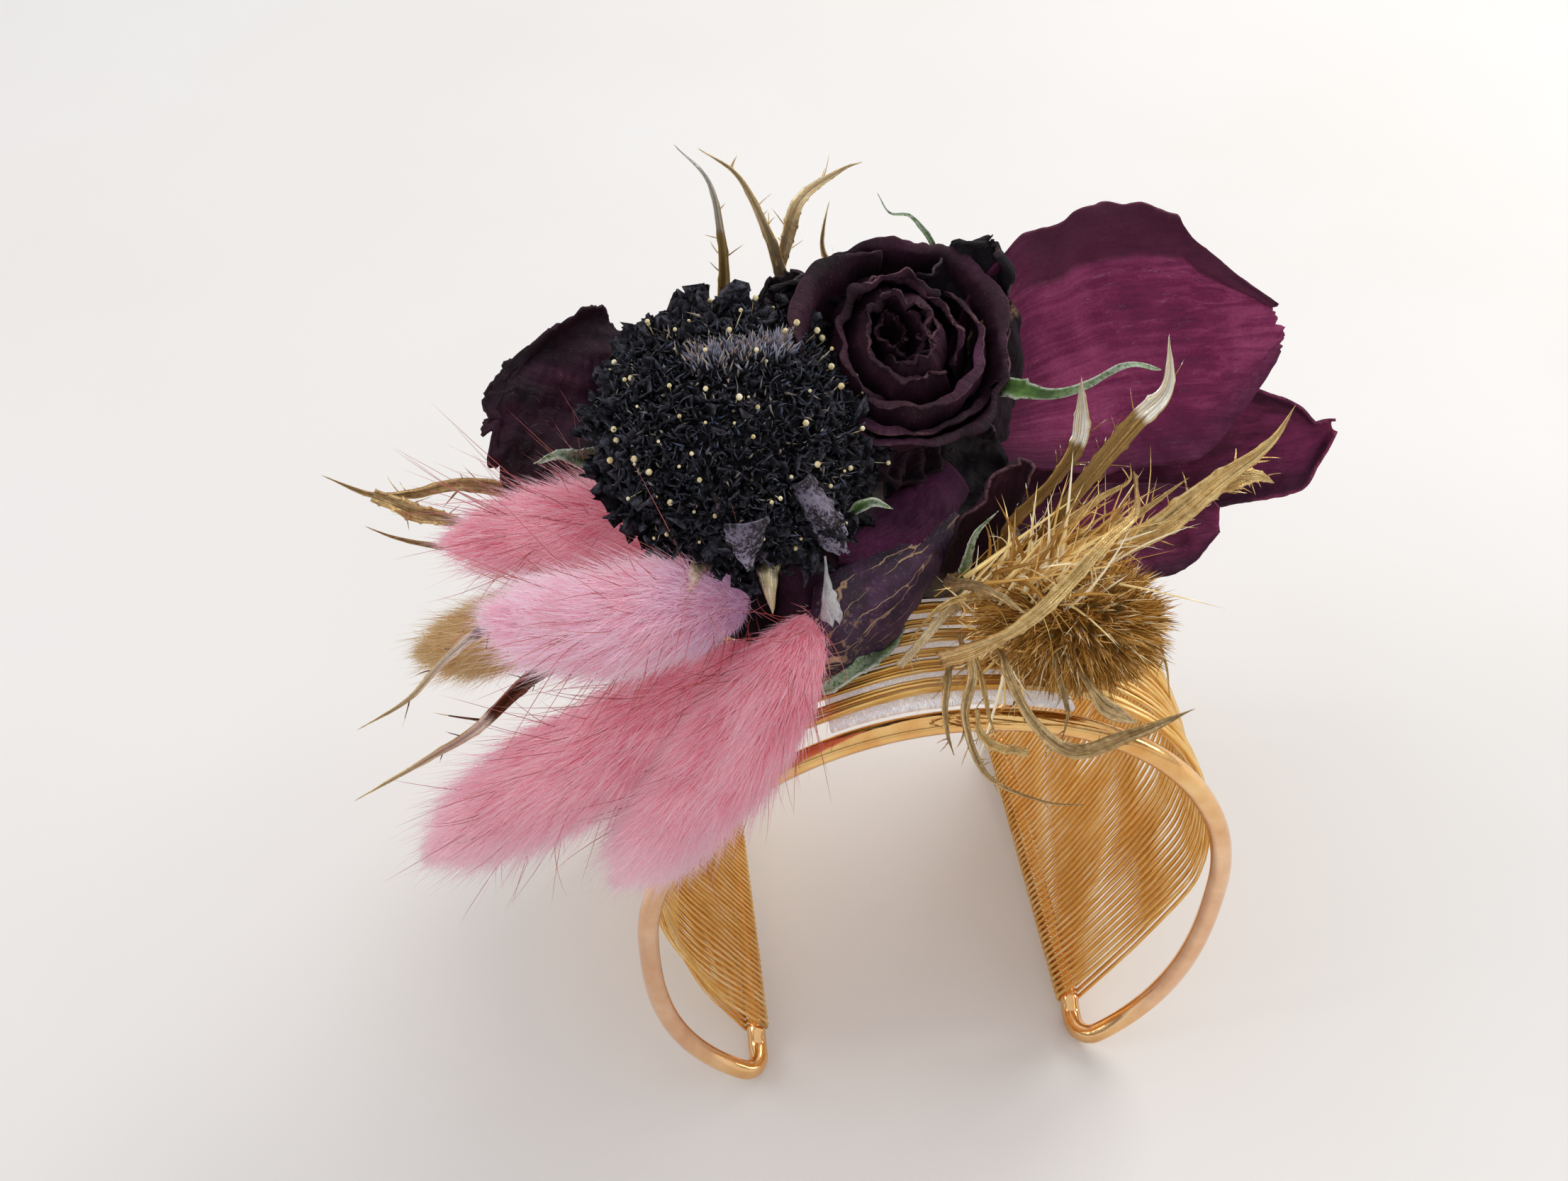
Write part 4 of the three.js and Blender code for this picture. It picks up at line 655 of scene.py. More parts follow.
def strandSide(facing, hug):
    # crown to belt on a radius that shrinks as share^2.2, then a bent leg to the side of the end rail
    top, belt = cuff["width"] / 2 + winding["rise"], cuff["width"] / 2 - winding["tuck"]
    angle = np.linspace(0, math.pi / 2, 22)[:-1]
    radius = top + (belt - top) * (angle / (math.pi / 2)) ** 2.2
    upper = np.stack([radius * np.sin(angle), beltZ + radius * np.cos(angle)], 1)
    end = np.array([footX, cuff["footZ"] + railLift])
    bend = np.array([belt, beltZ * 0.74])
    run = unit(bend - end)
    end = end + np.array([run[1], -run[0]]) * facing * hug
    s = np.linspace(0, 1, 14)[:, None]
    leg = np.array([belt, beltZ]) * (1 - s) ** 2 + bend * 2 * s * (1 - s) + end * s ** 2
    return np.concatenate([upper, leg]), run


def windingPath():
    # each pass: inside of one end rail, over the crown, outside of the other, half a turn round that rail
    hug = cuff["wire"] / 2 + winding["wire"] / 2 + 0.06 * mm
    inner, run = strandSide(-1, hug)
    outer, _ = strandSide(1, hug)
    turn = np.linspace(0, math.pi, 7)[1:-1]
    way, flat = np.array([run[1], -run[0]]), -run
    arc = np.array([footX, cuff["footZ"] + railLift]) + hug * swing(way, flat, turn[:, None])
    one = np.concatenate([inner[1:][::-1] * [-1, 1], outer, arc])
    count = winding["passes"]
    spread = np.linspace(-1, 1, count)[:, None]
    sides = np.where(np.arange(count) % 2, -1, 1)[:, None]
    low = np.clip((beltZ - one[:, 1]) / beltZ, 0, 1)[None]
    high = ease((one[:, 1] - beltZ) / (crownZ - beltZ))[None]
    near = np.linspace(0, 1, len(one))[None] - 0.5
    y = spread * (winding["reach"] + (winding["footReach"] - winding["reach"]) * low)
    y = y + near * (2 * winding["reach"] / count) * ease(low * 2 - 0.6)
    y = y + winding["bunch"] * np.sin(spread * 42) * high
    x = sides * one[:, 0]
    flatPoints = np.stack([x, y, np.broadcast_to(one[:, 1], x.shape)], -1)
    free = ease((one[:, 1] - 5 * mm) / (12 * mm))[None]
    y = y + ripple(flatPoints, 26 * mm, 5, 2) * winding["drift"] * free
    swell = ripple(flatPoints * [1, 3, 1], 30 * mm, 9, 2) * winding["bulge"] * free * (1 - 0.5 * high)
    out = unit(flatPoints * [1, 0, 1] - [0, 0, beltZ * 0.9])
    swell = swell + sides * winding["layer"] * free
    line = np.stack([x, y, flatPoints[..., 2]], -1) + out * swell[..., None]
    return line.reshape(-1, 3)[:-len(arc)] + ground


strand = windingPath()
_, strandSideways, strandUp = frameAlong(strand, [0, 1, 0])
makePiece("fineWinding", [tubePart(strand, strandSideways, strandUp, winding["wire"] / 2, 6)],
          "goldWire", "wire_winding")
print("winding made")

# cuff: felt pad under the strands, and the glue over them
pad = dict(length=24 * mm, thick=0.5 * mm, depth=48.8 * mm, radius=31 * mm, gap=0.05 * mm, sag=0.12 * mm)


def padGrid():  # an arc under the strands, with a slight sag between them
    angle = np.linspace(-0.5, 0.5, 60)[:, None] * pad["length"] / pad["radius"]
    y = np.linspace(-0.5, 0.5, 70)[None] * pad["depth"]
    radius = pad["radius"] + pad["gap"] + pad["sag"] * np.sin(y * 900) + 0 * angle
    grid = stacked(radius * np.sin(angle), y, beltZ + radius * np.cos(angle))
    return grid + ripple(grid, 9 * mm, 3)[..., None] * [0, 0, pad["sag"]] + ground


padPiece = makePiece("feltPad", [sheetPart(padGrid(), pad["thick"])], "felt", "backing_pad")


def domeGrid(centre, axis, width, height, rows, cols, profile, depthShare=1.0):
    # turned body: centre + axis · height · h + around · width / 2 · r, (h, r) along the profile
    profile = np.array(profile, float)
    gone = np.concatenate([[0], np.cumsum(np.linalg.norm(np.diff(profile, axis=0), axis=1))])
    want = np.linspace(0, gone[-1], rows)
    h, r = (np.interp(want, gone, profile[:, k])[:, None, None] for k in (0, 1))
    axis = unit(np.asarray(axis, float))
    side = unit(np.cross(axis, [0.3, 1, 0.1]))
    other = np.cross(axis, side)
    turn = (np.arange(cols) / cols * 2 * math.pi)[None, :, None]
    around = side * np.cos(turn) + other * np.sin(turn) * depthShare
    return centre + axis * h * height + around * r * width / 2


glue = dict(foot=[-18, -13, 19], width=29 * mm, height=7.4 * mm, depthShare=0.73)
glueDome = domeGrid(at(glue["foot"]), [0, 0, 1], glue["width"], glue["height"], 30, 48,
                    [(0, 0), (0, 0.8), (0.1, 1), (0.5, 0.85), (0.85, 0.5), (1, 0)], glue["depthShare"])
lumps = ripple(glueDome, 6 * mm, 11)[..., None] * [0, 0, 0.5 * mm]
glueDome = glueDome + lumps * (glueDome[..., 2:] > crownZ + 3 * mm)
makePiece("glueMound", [gridPart(glueDome, around=True)], "glue")
print("pad and glue made")


# petals
def edgeLine(stops, share):  # half width at each share of the length, through the stops, rounded off
    stops = np.array(stops, float)
    return smoothed(np.interp(share, stops[:, 0], stops[:, 1]))


def petalGrid(base, tip, face, lower, upper, seed, rows=60, cols=40, cup=0.2, bow=0, wave=0.1, waves=5,
              rag=0.1, curl=0, crumple=0.35, fold=None, blunt=0, lip=0):
    # base + along · s + side · t · half(s) + up · (cup of t², bow of sin πs, waves at the rim, curl
    # past |t| = 0.78, lip past s = 0.82)
    base, tip, face = at(base), at(tip), unit(np.array(face, float))
    along = tip - base
    length = np.linalg.norm(along)
    side = unit(np.cross(along, face))
    up = unit(np.cross(side, along))
    s, t = np.linspace(0, 1, rows), np.linspace(-1, 1, cols)
    noise = [ripple(np.stack([s * 9 + k, s * 0 + seed], 1), 1.6, seed + k, 4) for k in (0, 5)]
    low = edgeLine(lower, s) * mm * (1 + rag * noise[0])
    high = edgeLine(upper, s) * mm * (1 + rag * noise[1])
    s, t = s[:, None], t[None]
    across = np.where(t < 0, t * high[:, None], t * low[:, None])
    half = (low + high)[:, None] / 2
    reach = s + blunt * s ** 6 * ripple(stacked(t * 4, 0 * s + seed), 1.5, seed + 2, 4)
    ruffle = wave * s * np.abs(t) ** 1.5 * np.sin(waves * math.pi * (s + t / 2) + seed) * half * 2
    rise = cup * (t * t - 0.4) * half + bow * np.sin(math.pi * s) * length + ruffle
    rise = rise + curl * mm * np.clip((np.abs(t) - 0.78) / 0.22, 0, 1) ** 2 * ease(s * 3)
    rise = rise + lip * mm * np.clip((s - 0.82) / 0.18, 0, 1) ** 2
    if fold:  # beyond a line across the petal it leans over
        place, lean = fold
        rise = rise + np.maximum(0, -across - place * mm) * lean
    grid = base + along * reach[..., None] + side * across[..., None] + up * rise[..., None]
    bumps = ripple(grid, 7 * mm, seed + 3, 4) * crumple * mm * ease(s * 2 + 0.2)
    return grid + up * bumps[..., None]


petalThick = 0.3 * mm
petals = {  # finish, then places in tenths of a mm, half widths in mm at shares of the length
    "plumPetalLarge": ("plum", dict(base=[45, -5, 155], tip=[370, 62, 215], face=[0.05, -0.88, 0.47],
        lower=[(0, 3.4), (0.14, 7), (0.37, 10.4), (0.54, 11.8), (0.68, 12), (0.79, 10.2), (0.88, 7.6),
        (0.95, 6), (1, 4.6)], upper=[(0, 7), (0.12, 12), (0.22, 14.5), (0.33, 15.4), (0.5, 16.1),
        (0.58, 15.6), (0.66, 14.2), (0.75, 12.2), (0.775, 12.4), (0.79, 9.6), (0.86, 6.4), (0.95, 2.4),
        (1, 0.2)], rows=110, cols=80, cup=0.16, bow=-0.05, wave=0.02, rag=0.02, crumple=0.32,
        fold=(10.5, 0.55), blunt=0.012, waves=3, seed=3)),
    "plumPetalSide": ("plumSide", dict(base=[90, 15, 40], tip=[450, 35, 80], face=[0.05, -0.85, 0.52],
        lower=[(0, 2.5), (0.3, 4.5), (0.49, 6.2), (0.65, 6.5), (0.8, 6.4), (0.89, 5.8), (0.96, 3),
        (1, 0.6)], upper=[(0, 2.5), (0.3, 5.6), (0.6, 6.6), (0.76, 5.9), (0.82, 4.6), (0.92, 2.4),
        (0.945, -0.2), (0.96, 0.8), (1, 0.6)], rows=90, cols=44, cup=0.3, bow=-0.06, wave=0.03, curl=1,
        rag=0.03, waves=3, seed=7)),
    "plumPetalLow": ("plumSide", dict(base=[90, -60, 50], tip=[300, -72, 50], face=[0.1, -0.7, 0.7],
        lower=[(0, 3), (0.45, 4.6), (0.62, 5.4), (0.77, 5), (0.89, 3.6), (1, 0.8)], upper=[(0, 3),
        (0.5, 4.6), (0.8, 4.2), (0.95, 3), (1, 1.6)], cols=36, bow=-0.04, rag=0.02, wave=0.02, waves=3,
        seed=11)),
    "darkPetalLeft": ("dark", dict(base=[-215, 30, 130], tip=[-392, 57, 220], face=[0.1, -0.78, 0.6],
        lower=[(0, 3), (0.44, 5.4), (0.61, 7.5), (0.79, 7.4), (0.82, 5.6), (0.88, 3.9), (0.96, -1),
        (1, -4.6)], upper=[(0, 3), (0.3, 6), (0.42, 6.4), (0.7, 9.4), (0.91, 11.2), (0.93, 8.4), (0.95, 5),
        (0.975, 8.2), (1, 7)], rows=100, cols=70, cup=0.12, wave=0.05, rag=0.12, crumple=0.6, blunt=0.03,
        seed=13)),
    "scrapPetalTop": ("black", dict(base=[0, 50, 200], tip=[70, 60, 312], face=[0.1, -0.8, 0.5],
        lower=[(0, 3), (0.5, 5), (0.8, 4.2), (0.93, 3.6), (1, 1)], upper=[(0, 3), (0.5, 4.4), (0.8, 3),
        (0.93, 3), (1, 0.6)], rows=50, cup=0.3, wave=0.16, crumple=0.5, blunt=0.05, seed=43)),
    "scrapPetalRight": ("burnt", dict(base=[60, -30, 90], tip=[86, 28, 260], face=[0.35, -0.8, 0.45],
        lower=[(0, 2.4), (0.35, 3.4), (0.62, 3.2), (0.78, 2.9), (0.86, 1.6), (0.95, 1.4), (1, 0.3)],
        upper=[(0, 3), (0.5, 4), (0.8, 3), (0.93, 2), (1, 0.6)], rows=70, cols=50, cup=-0.35, wave=0.12,
        rag=0.05, curl=-0.5, crumple=0.4, blunt=0.05, seed=55)),
    "scrapPetalRose": ("black", dict(base=[-50, 50, 170], tip=[-140, 50, 272], face=[0, -0.8, 0.5],
        lower=[(0, 3), (0.5, 5), (0.8, 5.2), (0.93, 3.6), (1, 1)], upper=[(0, 3), (0.5, 5), (0.8, 4.4),
        (0.93, 3), (1, 0.6)], cols=50, wave=0.16, waves=8, crumple=0.6, blunt=0.05, seed=45)),
    "scrapPetalUnder": ("rose", dict(base=[20, 0, 160], tip=[-60, -75, 155], face=[0, -0.75, 0.6],
        lower=[(0, 4), (0.5, 5.6), (0.8, 5.2), (0.93, 3.6), (1, 1)], upper=[(0, 3), (0.5, 4), (0.8, 3.4),
        (0.93, 2.4), (1, 0.6)], cols=50, wave=0.2, waves=7, crumple=0.6, blunt=0.05, seed=47)),
    "scrapPetalGap": ("black", dict(base=[-30, -20, 170], tip=[75, -55, 100], face=[0.1, -0.75, 0.65],
        lower=[(0, 5), (0.4, 8), (0.7, 7), (0.9, 4.6), (1, 1)], upper=[(0, 3), (0.5, 5), (0.8, 4.4),
        (0.93, 3), (1, 0.6)], cols=50, wave=0.14, waves=6, crumple=0.6, blunt=0.05, seed=49)),
    "darkPetalLeftLow": ("dark", dict(base=[-200, 40, 100], tip=[-410, 30, 135], face=[0.05, -0.6, 0.8],
        lower=[(0, 3), (0.5, 4.6), (0.8, 4), (1, 0.5)], upper=[(0, 3), (0.59, 6.2), (0.8, 6.4), (0.95, 5.4),
        (1, 3.6)], rows=50, cols=30, wave=0.04, rag=0.05, waves=3, seed=17)),
    "darkPetalBack": ("black", dict(base=[-90, 70, 140], tip=[-135, 85, 270], face=[0.1, -0.8, 0.5],
        lower=[(0, 3), (0.5, 5), (0.73, 7.2), (0.84, 4.6), (0.95, 3), (1, 2)], upper=[(0, 3), (0.5, 4.6),
        (0.85, 4), (0.94, 2), (1, 0.2)], cols=50, cup=0.25, waves=7, rag=0.08, crumple=0.7, blunt=0.03,
        seed=19)),
    "darkPetalMiddle": ("rose", dict(base=[20, -120, 50], tip=[78, -110, 185], face=[0.2, -0.9, 0.3],
        lower=[(0, 1.5), (0.2, 1.6), (0.51, 1.6), (0.82, 1.6), (1, 0.8)], upper=[(0, 1.8), (0.2, 2.8),
        (0.42, 3.7), (0.7, 2.7), (0.87, 2.6), (1, 0.6)], cols=34, cup=0.5, waves=6, rag=0.08, curl=0.5,
        seed=23)),
    "budPetalFront": ("bud", dict(base=[25, -85, 100], tip=[-137, -215, 42], face=[0.35, -0.85, 0.25],
        lower=[(0, 0.8), (0.24, 2), (0.51, 4.2), (0.72, 4.8), (0.86, 2.7), (0.95, 0.8), (1, 0.2)],
        upper=[(0, 2), (0.08, 2.2), (0.23, 3.6), (0.41, 4.8), (0.64, 5.8), (0.84, 4.6), (0.95, 3),
        (1, 1.6)], rows=80, cols=56, cup=-0.75, bow=0.07, wave=0.03, curl=-0.6, rag=0.03, lip=-1.6, waves=3,
        seed=29)),
    "budPetalInner": ("magenta", dict(base=[30, -60, 130], tip=[-85, -150, 85], face=[0.2, -0.75, 0.6],
        lower=[(0, 2), (0.3, 2.4), (0.62, 2), (1, 0.5)], upper=[(0, 2), (0.3, 3.4), (0.6, 3.4), (0.87, 2.5),
        (1, 0.8)], cup=-0.4, wave=0.14, curl=-0.9, rag=0.06, crumple=0.5, seed=33)),
    "budPetalDark": ("rose", dict(base=[-95, -100, 130], tip=[-128, -215, 35], face=[0.3, -0.85, 0.2],
        lower=[(0, 1.6), (0.4, 1.4), (0.83, 1.2), (1, 0.5)], upper=[(0, 1.2), (0.4, 1.5), (0.84, 1.6),
        (1, 0.8)], cols=34, cup=-0.8, waves=4, curl=-0.5, rag=0.06, seed=39)),
    "dustedTriangle": ("lilac", dict(base=[-190, -198, 212], tip=[-188, -214, 170], face=[0.1, -0.8, 0.5],
        lower=[(0, 2), (0.5, 1.5), (1, 0.2)], upper=[(0, 2.2), (0.5, 1.3), (1, 0.2)], rows=40, cols=36,
        cup=-0.4, waves=4, crumple=0.45, blunt=0.05, seed=51)),
    "dustedTip": ("lilac", dict(base=[-135, -150, 215], tip=[-98, -178, 152], face=[0.2, -0.8, 0.5],
        lower=[(0, 1), (0.5, 1.5), (0.9, 1.4), (1, 0.5)], upper=[(0, 1), (0.5, 1.4), (0.9, 1.2), (1, 0.5)],
        rows=50, cup=-0.9, wave=0.25, waves=7, rag=0.12, crumple=0.6, blunt=0.06, seed=53)),
    "budPetalFold": ("magenta", dict(base=[15, -70, 120], tip=[-100, -140, 115], face=[0.1, -0.6, 0.75],
        lower=[(0, 2), (0.3, 2.4), (0.62, 1.7), (1, 0.5)], upper=[(0, 2.8), (0.13, 3.7), (0.49, 5.2),
        (0.87, 2.5), (1, 0.8)], cup=-0.6, wave=0.14, curl=-0.8, rag=0.06, crumple=0.5, seed=31)),
    "budPetalLeft": ("rose", dict(base=[-125, -100, 115], tip=[-156, -226, 30], face=[-0.45, -0.85, 0.1],
        lower=[(0, 2.4), (0.11, 3), (0.5, 2.4), (0.83, 1.8), (1, 0.8)], upper=[(0, 1.4), (0.18, 1.6),
        (0.84, 2.6), (0.95, 2.9), (1, 1.8)], rows=70, cup=-0.6, wave=0.06, waves=3, rag=0.03, curl=-0.5,
        crumple=0.3, seed=37)),
    "budPetalWing": ("black", dict(base=[-150, -130, 70], tip=[-225, -172, 72], face=[-0.1, -0.8, 0.6],
        lower=[(0, 1), (0.2, 1.2), (0.67, 1.2), (1, 0.3)], upper=[(0, 4), (0.42, 4.5), (0.7, 3.4),
        (0.85, 2), (1, 0.4)], rows=50, cols=34, wave=0.08, rag=0.08, seed=41)),
}
for name, (finish, shape) in petals.items():
    makePiece(name, [sheetPart(petalGrid(**shape), petalThick)], finish)
print("petals made")

# rose
rose = dict(foot=[-23.7, 40, 181], lean=[0.03, -0.59, 0.807], width=20.6 * mm, height=11 * mm, slant=24)


def bowlGrid(radius, height, drop, start, span, flare, roll, rollRadius, wave, rows, cols, seed, tilt=0.0):
    # part turn of a bowl: 0.3 + 0.7 · sin of its rise, times the radius; in its last fifth the rim
    # rolls outwards; inner bowls are slanting ovals, and sit higher
    u, v = np.linspace(0, 1, rows)[:, None], np.linspace(0, 1, cols)[None]
    rise = np.minimum(u / 0.8, 1)
    bowl = radius * (0.3 + 0.7 * np.sin(np.minimum(1, rise * 1.35) * math.pi / 2) + flare * rise ** 4)
    seat = stacked(v * 5 * span / 3.4, 0 * u + seed)
    top = height * (1 - 0.2 * (2 * v - 1) ** 4 + wave * ripple(seat, 2.4, seed, 2))
    high = -drop + (top + drop) * rise
    bend = np.clip((u - 0.8) / 0.2, 0, 1) * roll * (0.75 + 0.35 * ripple(seat, 2.2, seed + 4, 2))
    out = bowl + rollRadius * (1 - np.cos(bend)) + (v - 0.5) * mm  # one side edge lies under the next petal
    high = high + rollRadius * np.sin(bend)
    turn = start + (v - 0.5) * span + 0 * u
    lean = unit(np.array(rose["lean"]))
    side, other = np.array([1.0, 0, 0]), np.cross(lean, [1.0, 0, 0])
    out = out + 0.3 * mm * ripple(stacked(turn * 3, u * 3), 3.2, seed + 8, 4) * ease(u * 2)
    high = high + tilt * out * np.sin(turn + seed)
    frill = ripple(stacked(turn * 4, u * 2 + seed), 2.0, seed + 12, 3) * ease(u * 3.4 - 2.2)
    out, high = out + frill * 0.26 * mm, high + frill * 0.2 * mm
    inward = 1 - radius / (0.44 * rose["width"])
    spot = at(rose["foot"]) + other * inward * 2.4 * mm - side * inward * 0.4 * mm
    slant = math.radians(rose["slant"])
    broad, long = swing(side, other, slant), swing(other, -side, slant)
    wide = out * np.cos(turn - slant) * (1 - 0.42 * inward)
    tall = out * np.sin(turn - slant) * (1 + 0.16 * inward)
    return spot + broad * wide[..., None] + long * tall[..., None] + lean * high[..., None]


rosePetals = [  # radius share, start and span in turns, flare (closing where below zero), roll
    (0.52, 0.08, 0.6, -0.46, 0.7), (0.6, 0.6, 0.58, -0.36, 1.1), (0.72, 0.4, 0.55, -0.2, 1.7),
    (0.8, 0.88, 0.5, -0.18, 1.6), (0.88, 0.14, 0.42, 0.06, 2.4), (0.88, 0.48, 0.42, 0.1, 2.2),
    (0.88, 0.79, 0.46, 0.04, 2.0),
]
for index, (share, start, turns, flare, roll) in enumerate(rosePetals):
    grids = []
    for inner in (0, 1)[:1 + index % 2]:  # every second petal has a smaller one tucked inside it
        size = share - 0.08 * inner
        grids.append(bowlGrid(
            rose["width"] / 2 * size, rose["height"] * (1 - 0.14 * size - 0.03 * inner), 2.4 * mm * size,
            (start + 0.27 * inner) * 2 * math.pi, turns * (1 - 0.15 * inner) * 2 * math.pi,
            flare - 0.06 * inner, roll=roll * (1 - 0.3 * inner), rollRadius=(0.45 + 0.3 * share) * mm,
            wave=0.02 + 0.05 * share ** 2, rows=44, cols=72, tilt=0.12, seed=50 + index + 20 * inner))
    makePiece("rosePetal" + str(index + 1), [sheetPart(grid, petalThick) for grid in grids], "rose")
coreParts = []
for index in range(4):  # small furled petals in the middle
    share = 0.14 + 0.065 * index
    grid = bowlGrid(rose["width"] / 2 * share, rose["height"] * (0.6 + 0.06 * index), 0, index * 2.4, 3.4,
                    -0.1, roll=0.9, rollRadius=0.35 * mm, wave=0.05, rows=26, cols=40, seed=70 + index)
    coreParts.append(sheetPart(grid, petalThick))
makePiece("roseCore", coreParts, "rose")
print("rose made")


def stemTube(places, radius, count=24, face=(0, 1, 0.1)):  # round stem through the places
    line = smoothPath(places, count)
    _, side, up = frameAlong(line, face)
    return tubePart(line, side, up, radius, 10)


# scabiosa
scabiosa = dict(foot=[-200, -46, 165], lean=[0.24, -0.48, 0.84], width=26.4 * mm)
flowerAxis = unit(np.array(scabiosa["lean"]))
flowerSide = unit(np.cross(flowerAxis, [0, 1, 0.2]))
flowerOther = np.cross(flowerAxis, flowerSide)


def domePlaces(count, spread=1.75):
    # sunflower rule: polar angle = spread · sqrt(share), azimuth = i · 137.5°, on a squashed dome
    i = np.arange(count)
    polar = spread * np.sqrt((i + 0.5) / count)
    turn = i * goldenTurn
    centre = at(scabiosa["foot"]) + flowerAxis * 0.2 * scabiosa["width"]
    across = swing(flowerSide, flowerOther, turn[:, None])
    wide, tall = scabiosa["width"] * 0.44, scabiosa["width"] * 0.22
    out, up = np.sin(polar)[:, None], np.cos(polar)[:, None]
    places = centre + across * (wide * out) + flowerAxis * (tall * up)
    normals = unit(across * (out / wide) + flowerAxis * (up / tall))
    return places, normals, polar


def floretGrids(places, normals, width, height, seed, shake, grain, rows=3, cols=8, shape=0.9):
    # cups with crumpled mouths: radius = width · h^shape · (1 + lobes), rise = height · (h^1.3 + lobes),
    # then noise on each axis
    chance = np.random.default_rng(seed)
    h = np.linspace(0.1, 1, rows)[None, :, None]
    turn = np.linspace(0, 2 * math.pi, cols)[None, None]
    phase = chance.uniform(0, 6, (len(places), 1, 1))
    lobe = 1 + 0.2 * np.cos(3 * turn + phase) + 0.14 * np.cos(5 * turn + phase * 2)
    radius = width[:, None, None] * h ** shape * lobe
    rise = height[:, None, None] * (h ** 1.3 + 0.3 * h ** 2 * np.sin(4 * turn + phase * 3))
    side = unit(np.cross(normals, chance.normal(size=normals.shape)))
    other = np.cross(normals, side)
    places, normals, side, other = (way[:, None, None] for way in (places, normals, side, other))
    grid = places + side * (radius * np.cos(turn))[..., None] + other * (radius * np.sin(turn))[..., None]
    grid = grid + normals * rise[..., None]
    rough = np.stack([ripple(grid, grain, seed + k, 3) for k in range(3)], -1)
    return grid + rough * shake * h[..., None]


chance = np.random.default_rng(4)
floretCount = 1180
headPlaces, headNormals, headPolar = domePlaces(floretCount)
headPlaces = headPlaces + chance.normal(0, 0.25, headPlaces.shape) * mm
tilted = unit(headNormals + chance.normal(0, 0.45, headNormals.shape))
small = chance.uniform(0.24, 0.72, floretCount) * mm * (0.85 + 0.35 * headPolar)
florets = floretGrids(headPlaces - headNormals * 0.4 * mm, tilted, small, small * 1.1 + 0.2 * mm, 6,
                      shake=0.4 * mm, grain=0.9 * mm)
coreDome = domeGrid(at(scabiosa["foot"]), flowerAxis, 23 * mm, 10.6 * mm, 90, 150,
                    [(0, 0), (0.1, 0.5), (0.35, 0.96), (0.6, 0.98), (0.85, 0.66), (1, 0)])
grains = ripple(coreDome, 1.5 * mm, 7, 4) * 0.28 * mm
coreDome = coreDome + unit(coreDome - at(scabiosa["foot"])) * grains[..., None]
makePiece("scabiosaHead", [gridPart(coreDome, around=True), sheetPart(florets, 0.14 * mm)], "floret")
crumbCount = 4200
crumbs, crumbWays, _ = domePlaces(crumbCount, 1.7)
crumbWays = unit(crumbWays + chance.normal(0, 0.7, crumbWays.shape))
crumbs = strandPart(crumbs + chance.normal(0, 0.3, crumbs.shape) * mm, crumbWays,
                    chance.uniform(0.4, 1.1, crumbCount) * mm, chance.uniform(0.06, 0.2, crumbCount) * mm,
                    chance.normal(0, 0.3, crumbWays.shape) * mm, 2, 5)
makePiece("scabiosaCrumbs", [crumbs], "crumb", weld=False)

rimCount = 46
rimTurn = np.arange(rimCount) * 2 * math.pi / rimCount * 2.0 + chance.normal(0, 0.1, rimCount)
rimSpread = chance.uniform(0.7, 1.2, rimCount)
rimWays = unit(swing(flowerSide, flowerOther, rimTurn[:, None]))
rimLift = np.where(np.arange(rimCount) % 2, 5.0, 2.6)[:, None] * mm
rimPlaces = at(scabiosa["foot"]) + flowerAxis * rimLift + rimWays * 9.4 * mm
rimNormals = rimWays + flowerAxis * chance.uniform(-0.05, 0.8, rimCount)[:, None]
rimNormals = unit(rimNormals + chance.normal(0, 0.2, (rimCount, 3)))
rim = floretGrids(rimPlaces, rimNormals, rimSpread * 2.3 * mm, rimSpread * 3.7 * mm, 8,
                  shake=0.72 * mm, grain=1.15 * mm, rows=13, cols=42, shape=0.7)
makePiece("scabiosaFrill", [sheetPart(rim, 0.16 * mm)], "floret")


def ballGrids(places, radius, rows=5, cols=8):  # little balls: place + radius · (sin · cos, sin · sin, cos)
    polar, turn = np.linspace(0, math.pi, rows)[:, None], (np.arange(cols) / cols * 2 * math.pi)[None]
    ball = stacked(np.sin(polar) * np.cos(turn), np.sin(polar) * np.sin(turn), np.cos(polar))
    return places[:, None, None] + ball * radius[:, None, None, None]


pinCount = 120
pinPlaces, pinNormals, _ = domePlaces(pinCount, 1.5)
pinPlaces = pinPlaces + pinNormals * chance.uniform(0.5, 1.1, (pinCount, 1)) * mm
pinPlaces = pinPlaces + chance.normal(0, 0.8, (pinCount, 3)) * mm
pins = ballGrids(pinPlaces, chance.uniform(0.14, 0.32, pinCount) * mm)
pinStalks = strandPart(pinPlaces - pinNormals * 2 * mm, pinNormals, 2 * mm, 0.07 * mm,
                       chance.normal(0, 0.2, (pinCount, 3)) * mm, 2)
makePiece("scabiosaPinheads", [gridPart(pins, around=True), pinStalks], "pollen")

tuftCount = 900  # upright fibres in a row of small clumps at the top of the head
tuftShare = (np.floor(chance.uniform(0, 7, tuftCount)) + chance.uniform(0.1, 0.9, tuftCount)) / 7
tuftLeft, tuftRight = at([[-222, -52, 278], [-135, -30, 268]])
tuftRoots = tuftLeft + tuftShare[:, None] * (tuftRight - tuftLeft)
tuftRoots = tuftRoots + chance.normal(0, 1, (tuftCount, 3)) * [0.2 * mm, 0.9 * mm, 0.35 * mm]
tuftLean = (tuftShare * 7 % 1 - 0.5) * 0.9 + (tuftShare - 0.5) * 0.4
tuftAims = unit(stacked(tuftLean, -0.15, 1.0) + chance.normal(0, 0.13, (tuftCount, 3)))
tuft = strandPart(tuftRoots, tuftAims, chance.uniform(1.2, 2.1, tuftCount) * mm, 0.17 * mm,
                  chance.normal(0, 0.15, (tuftCount, 3)) * mm, 3)
makePiece("scabiosaTufts", [tuft], "tuft", weld=False)

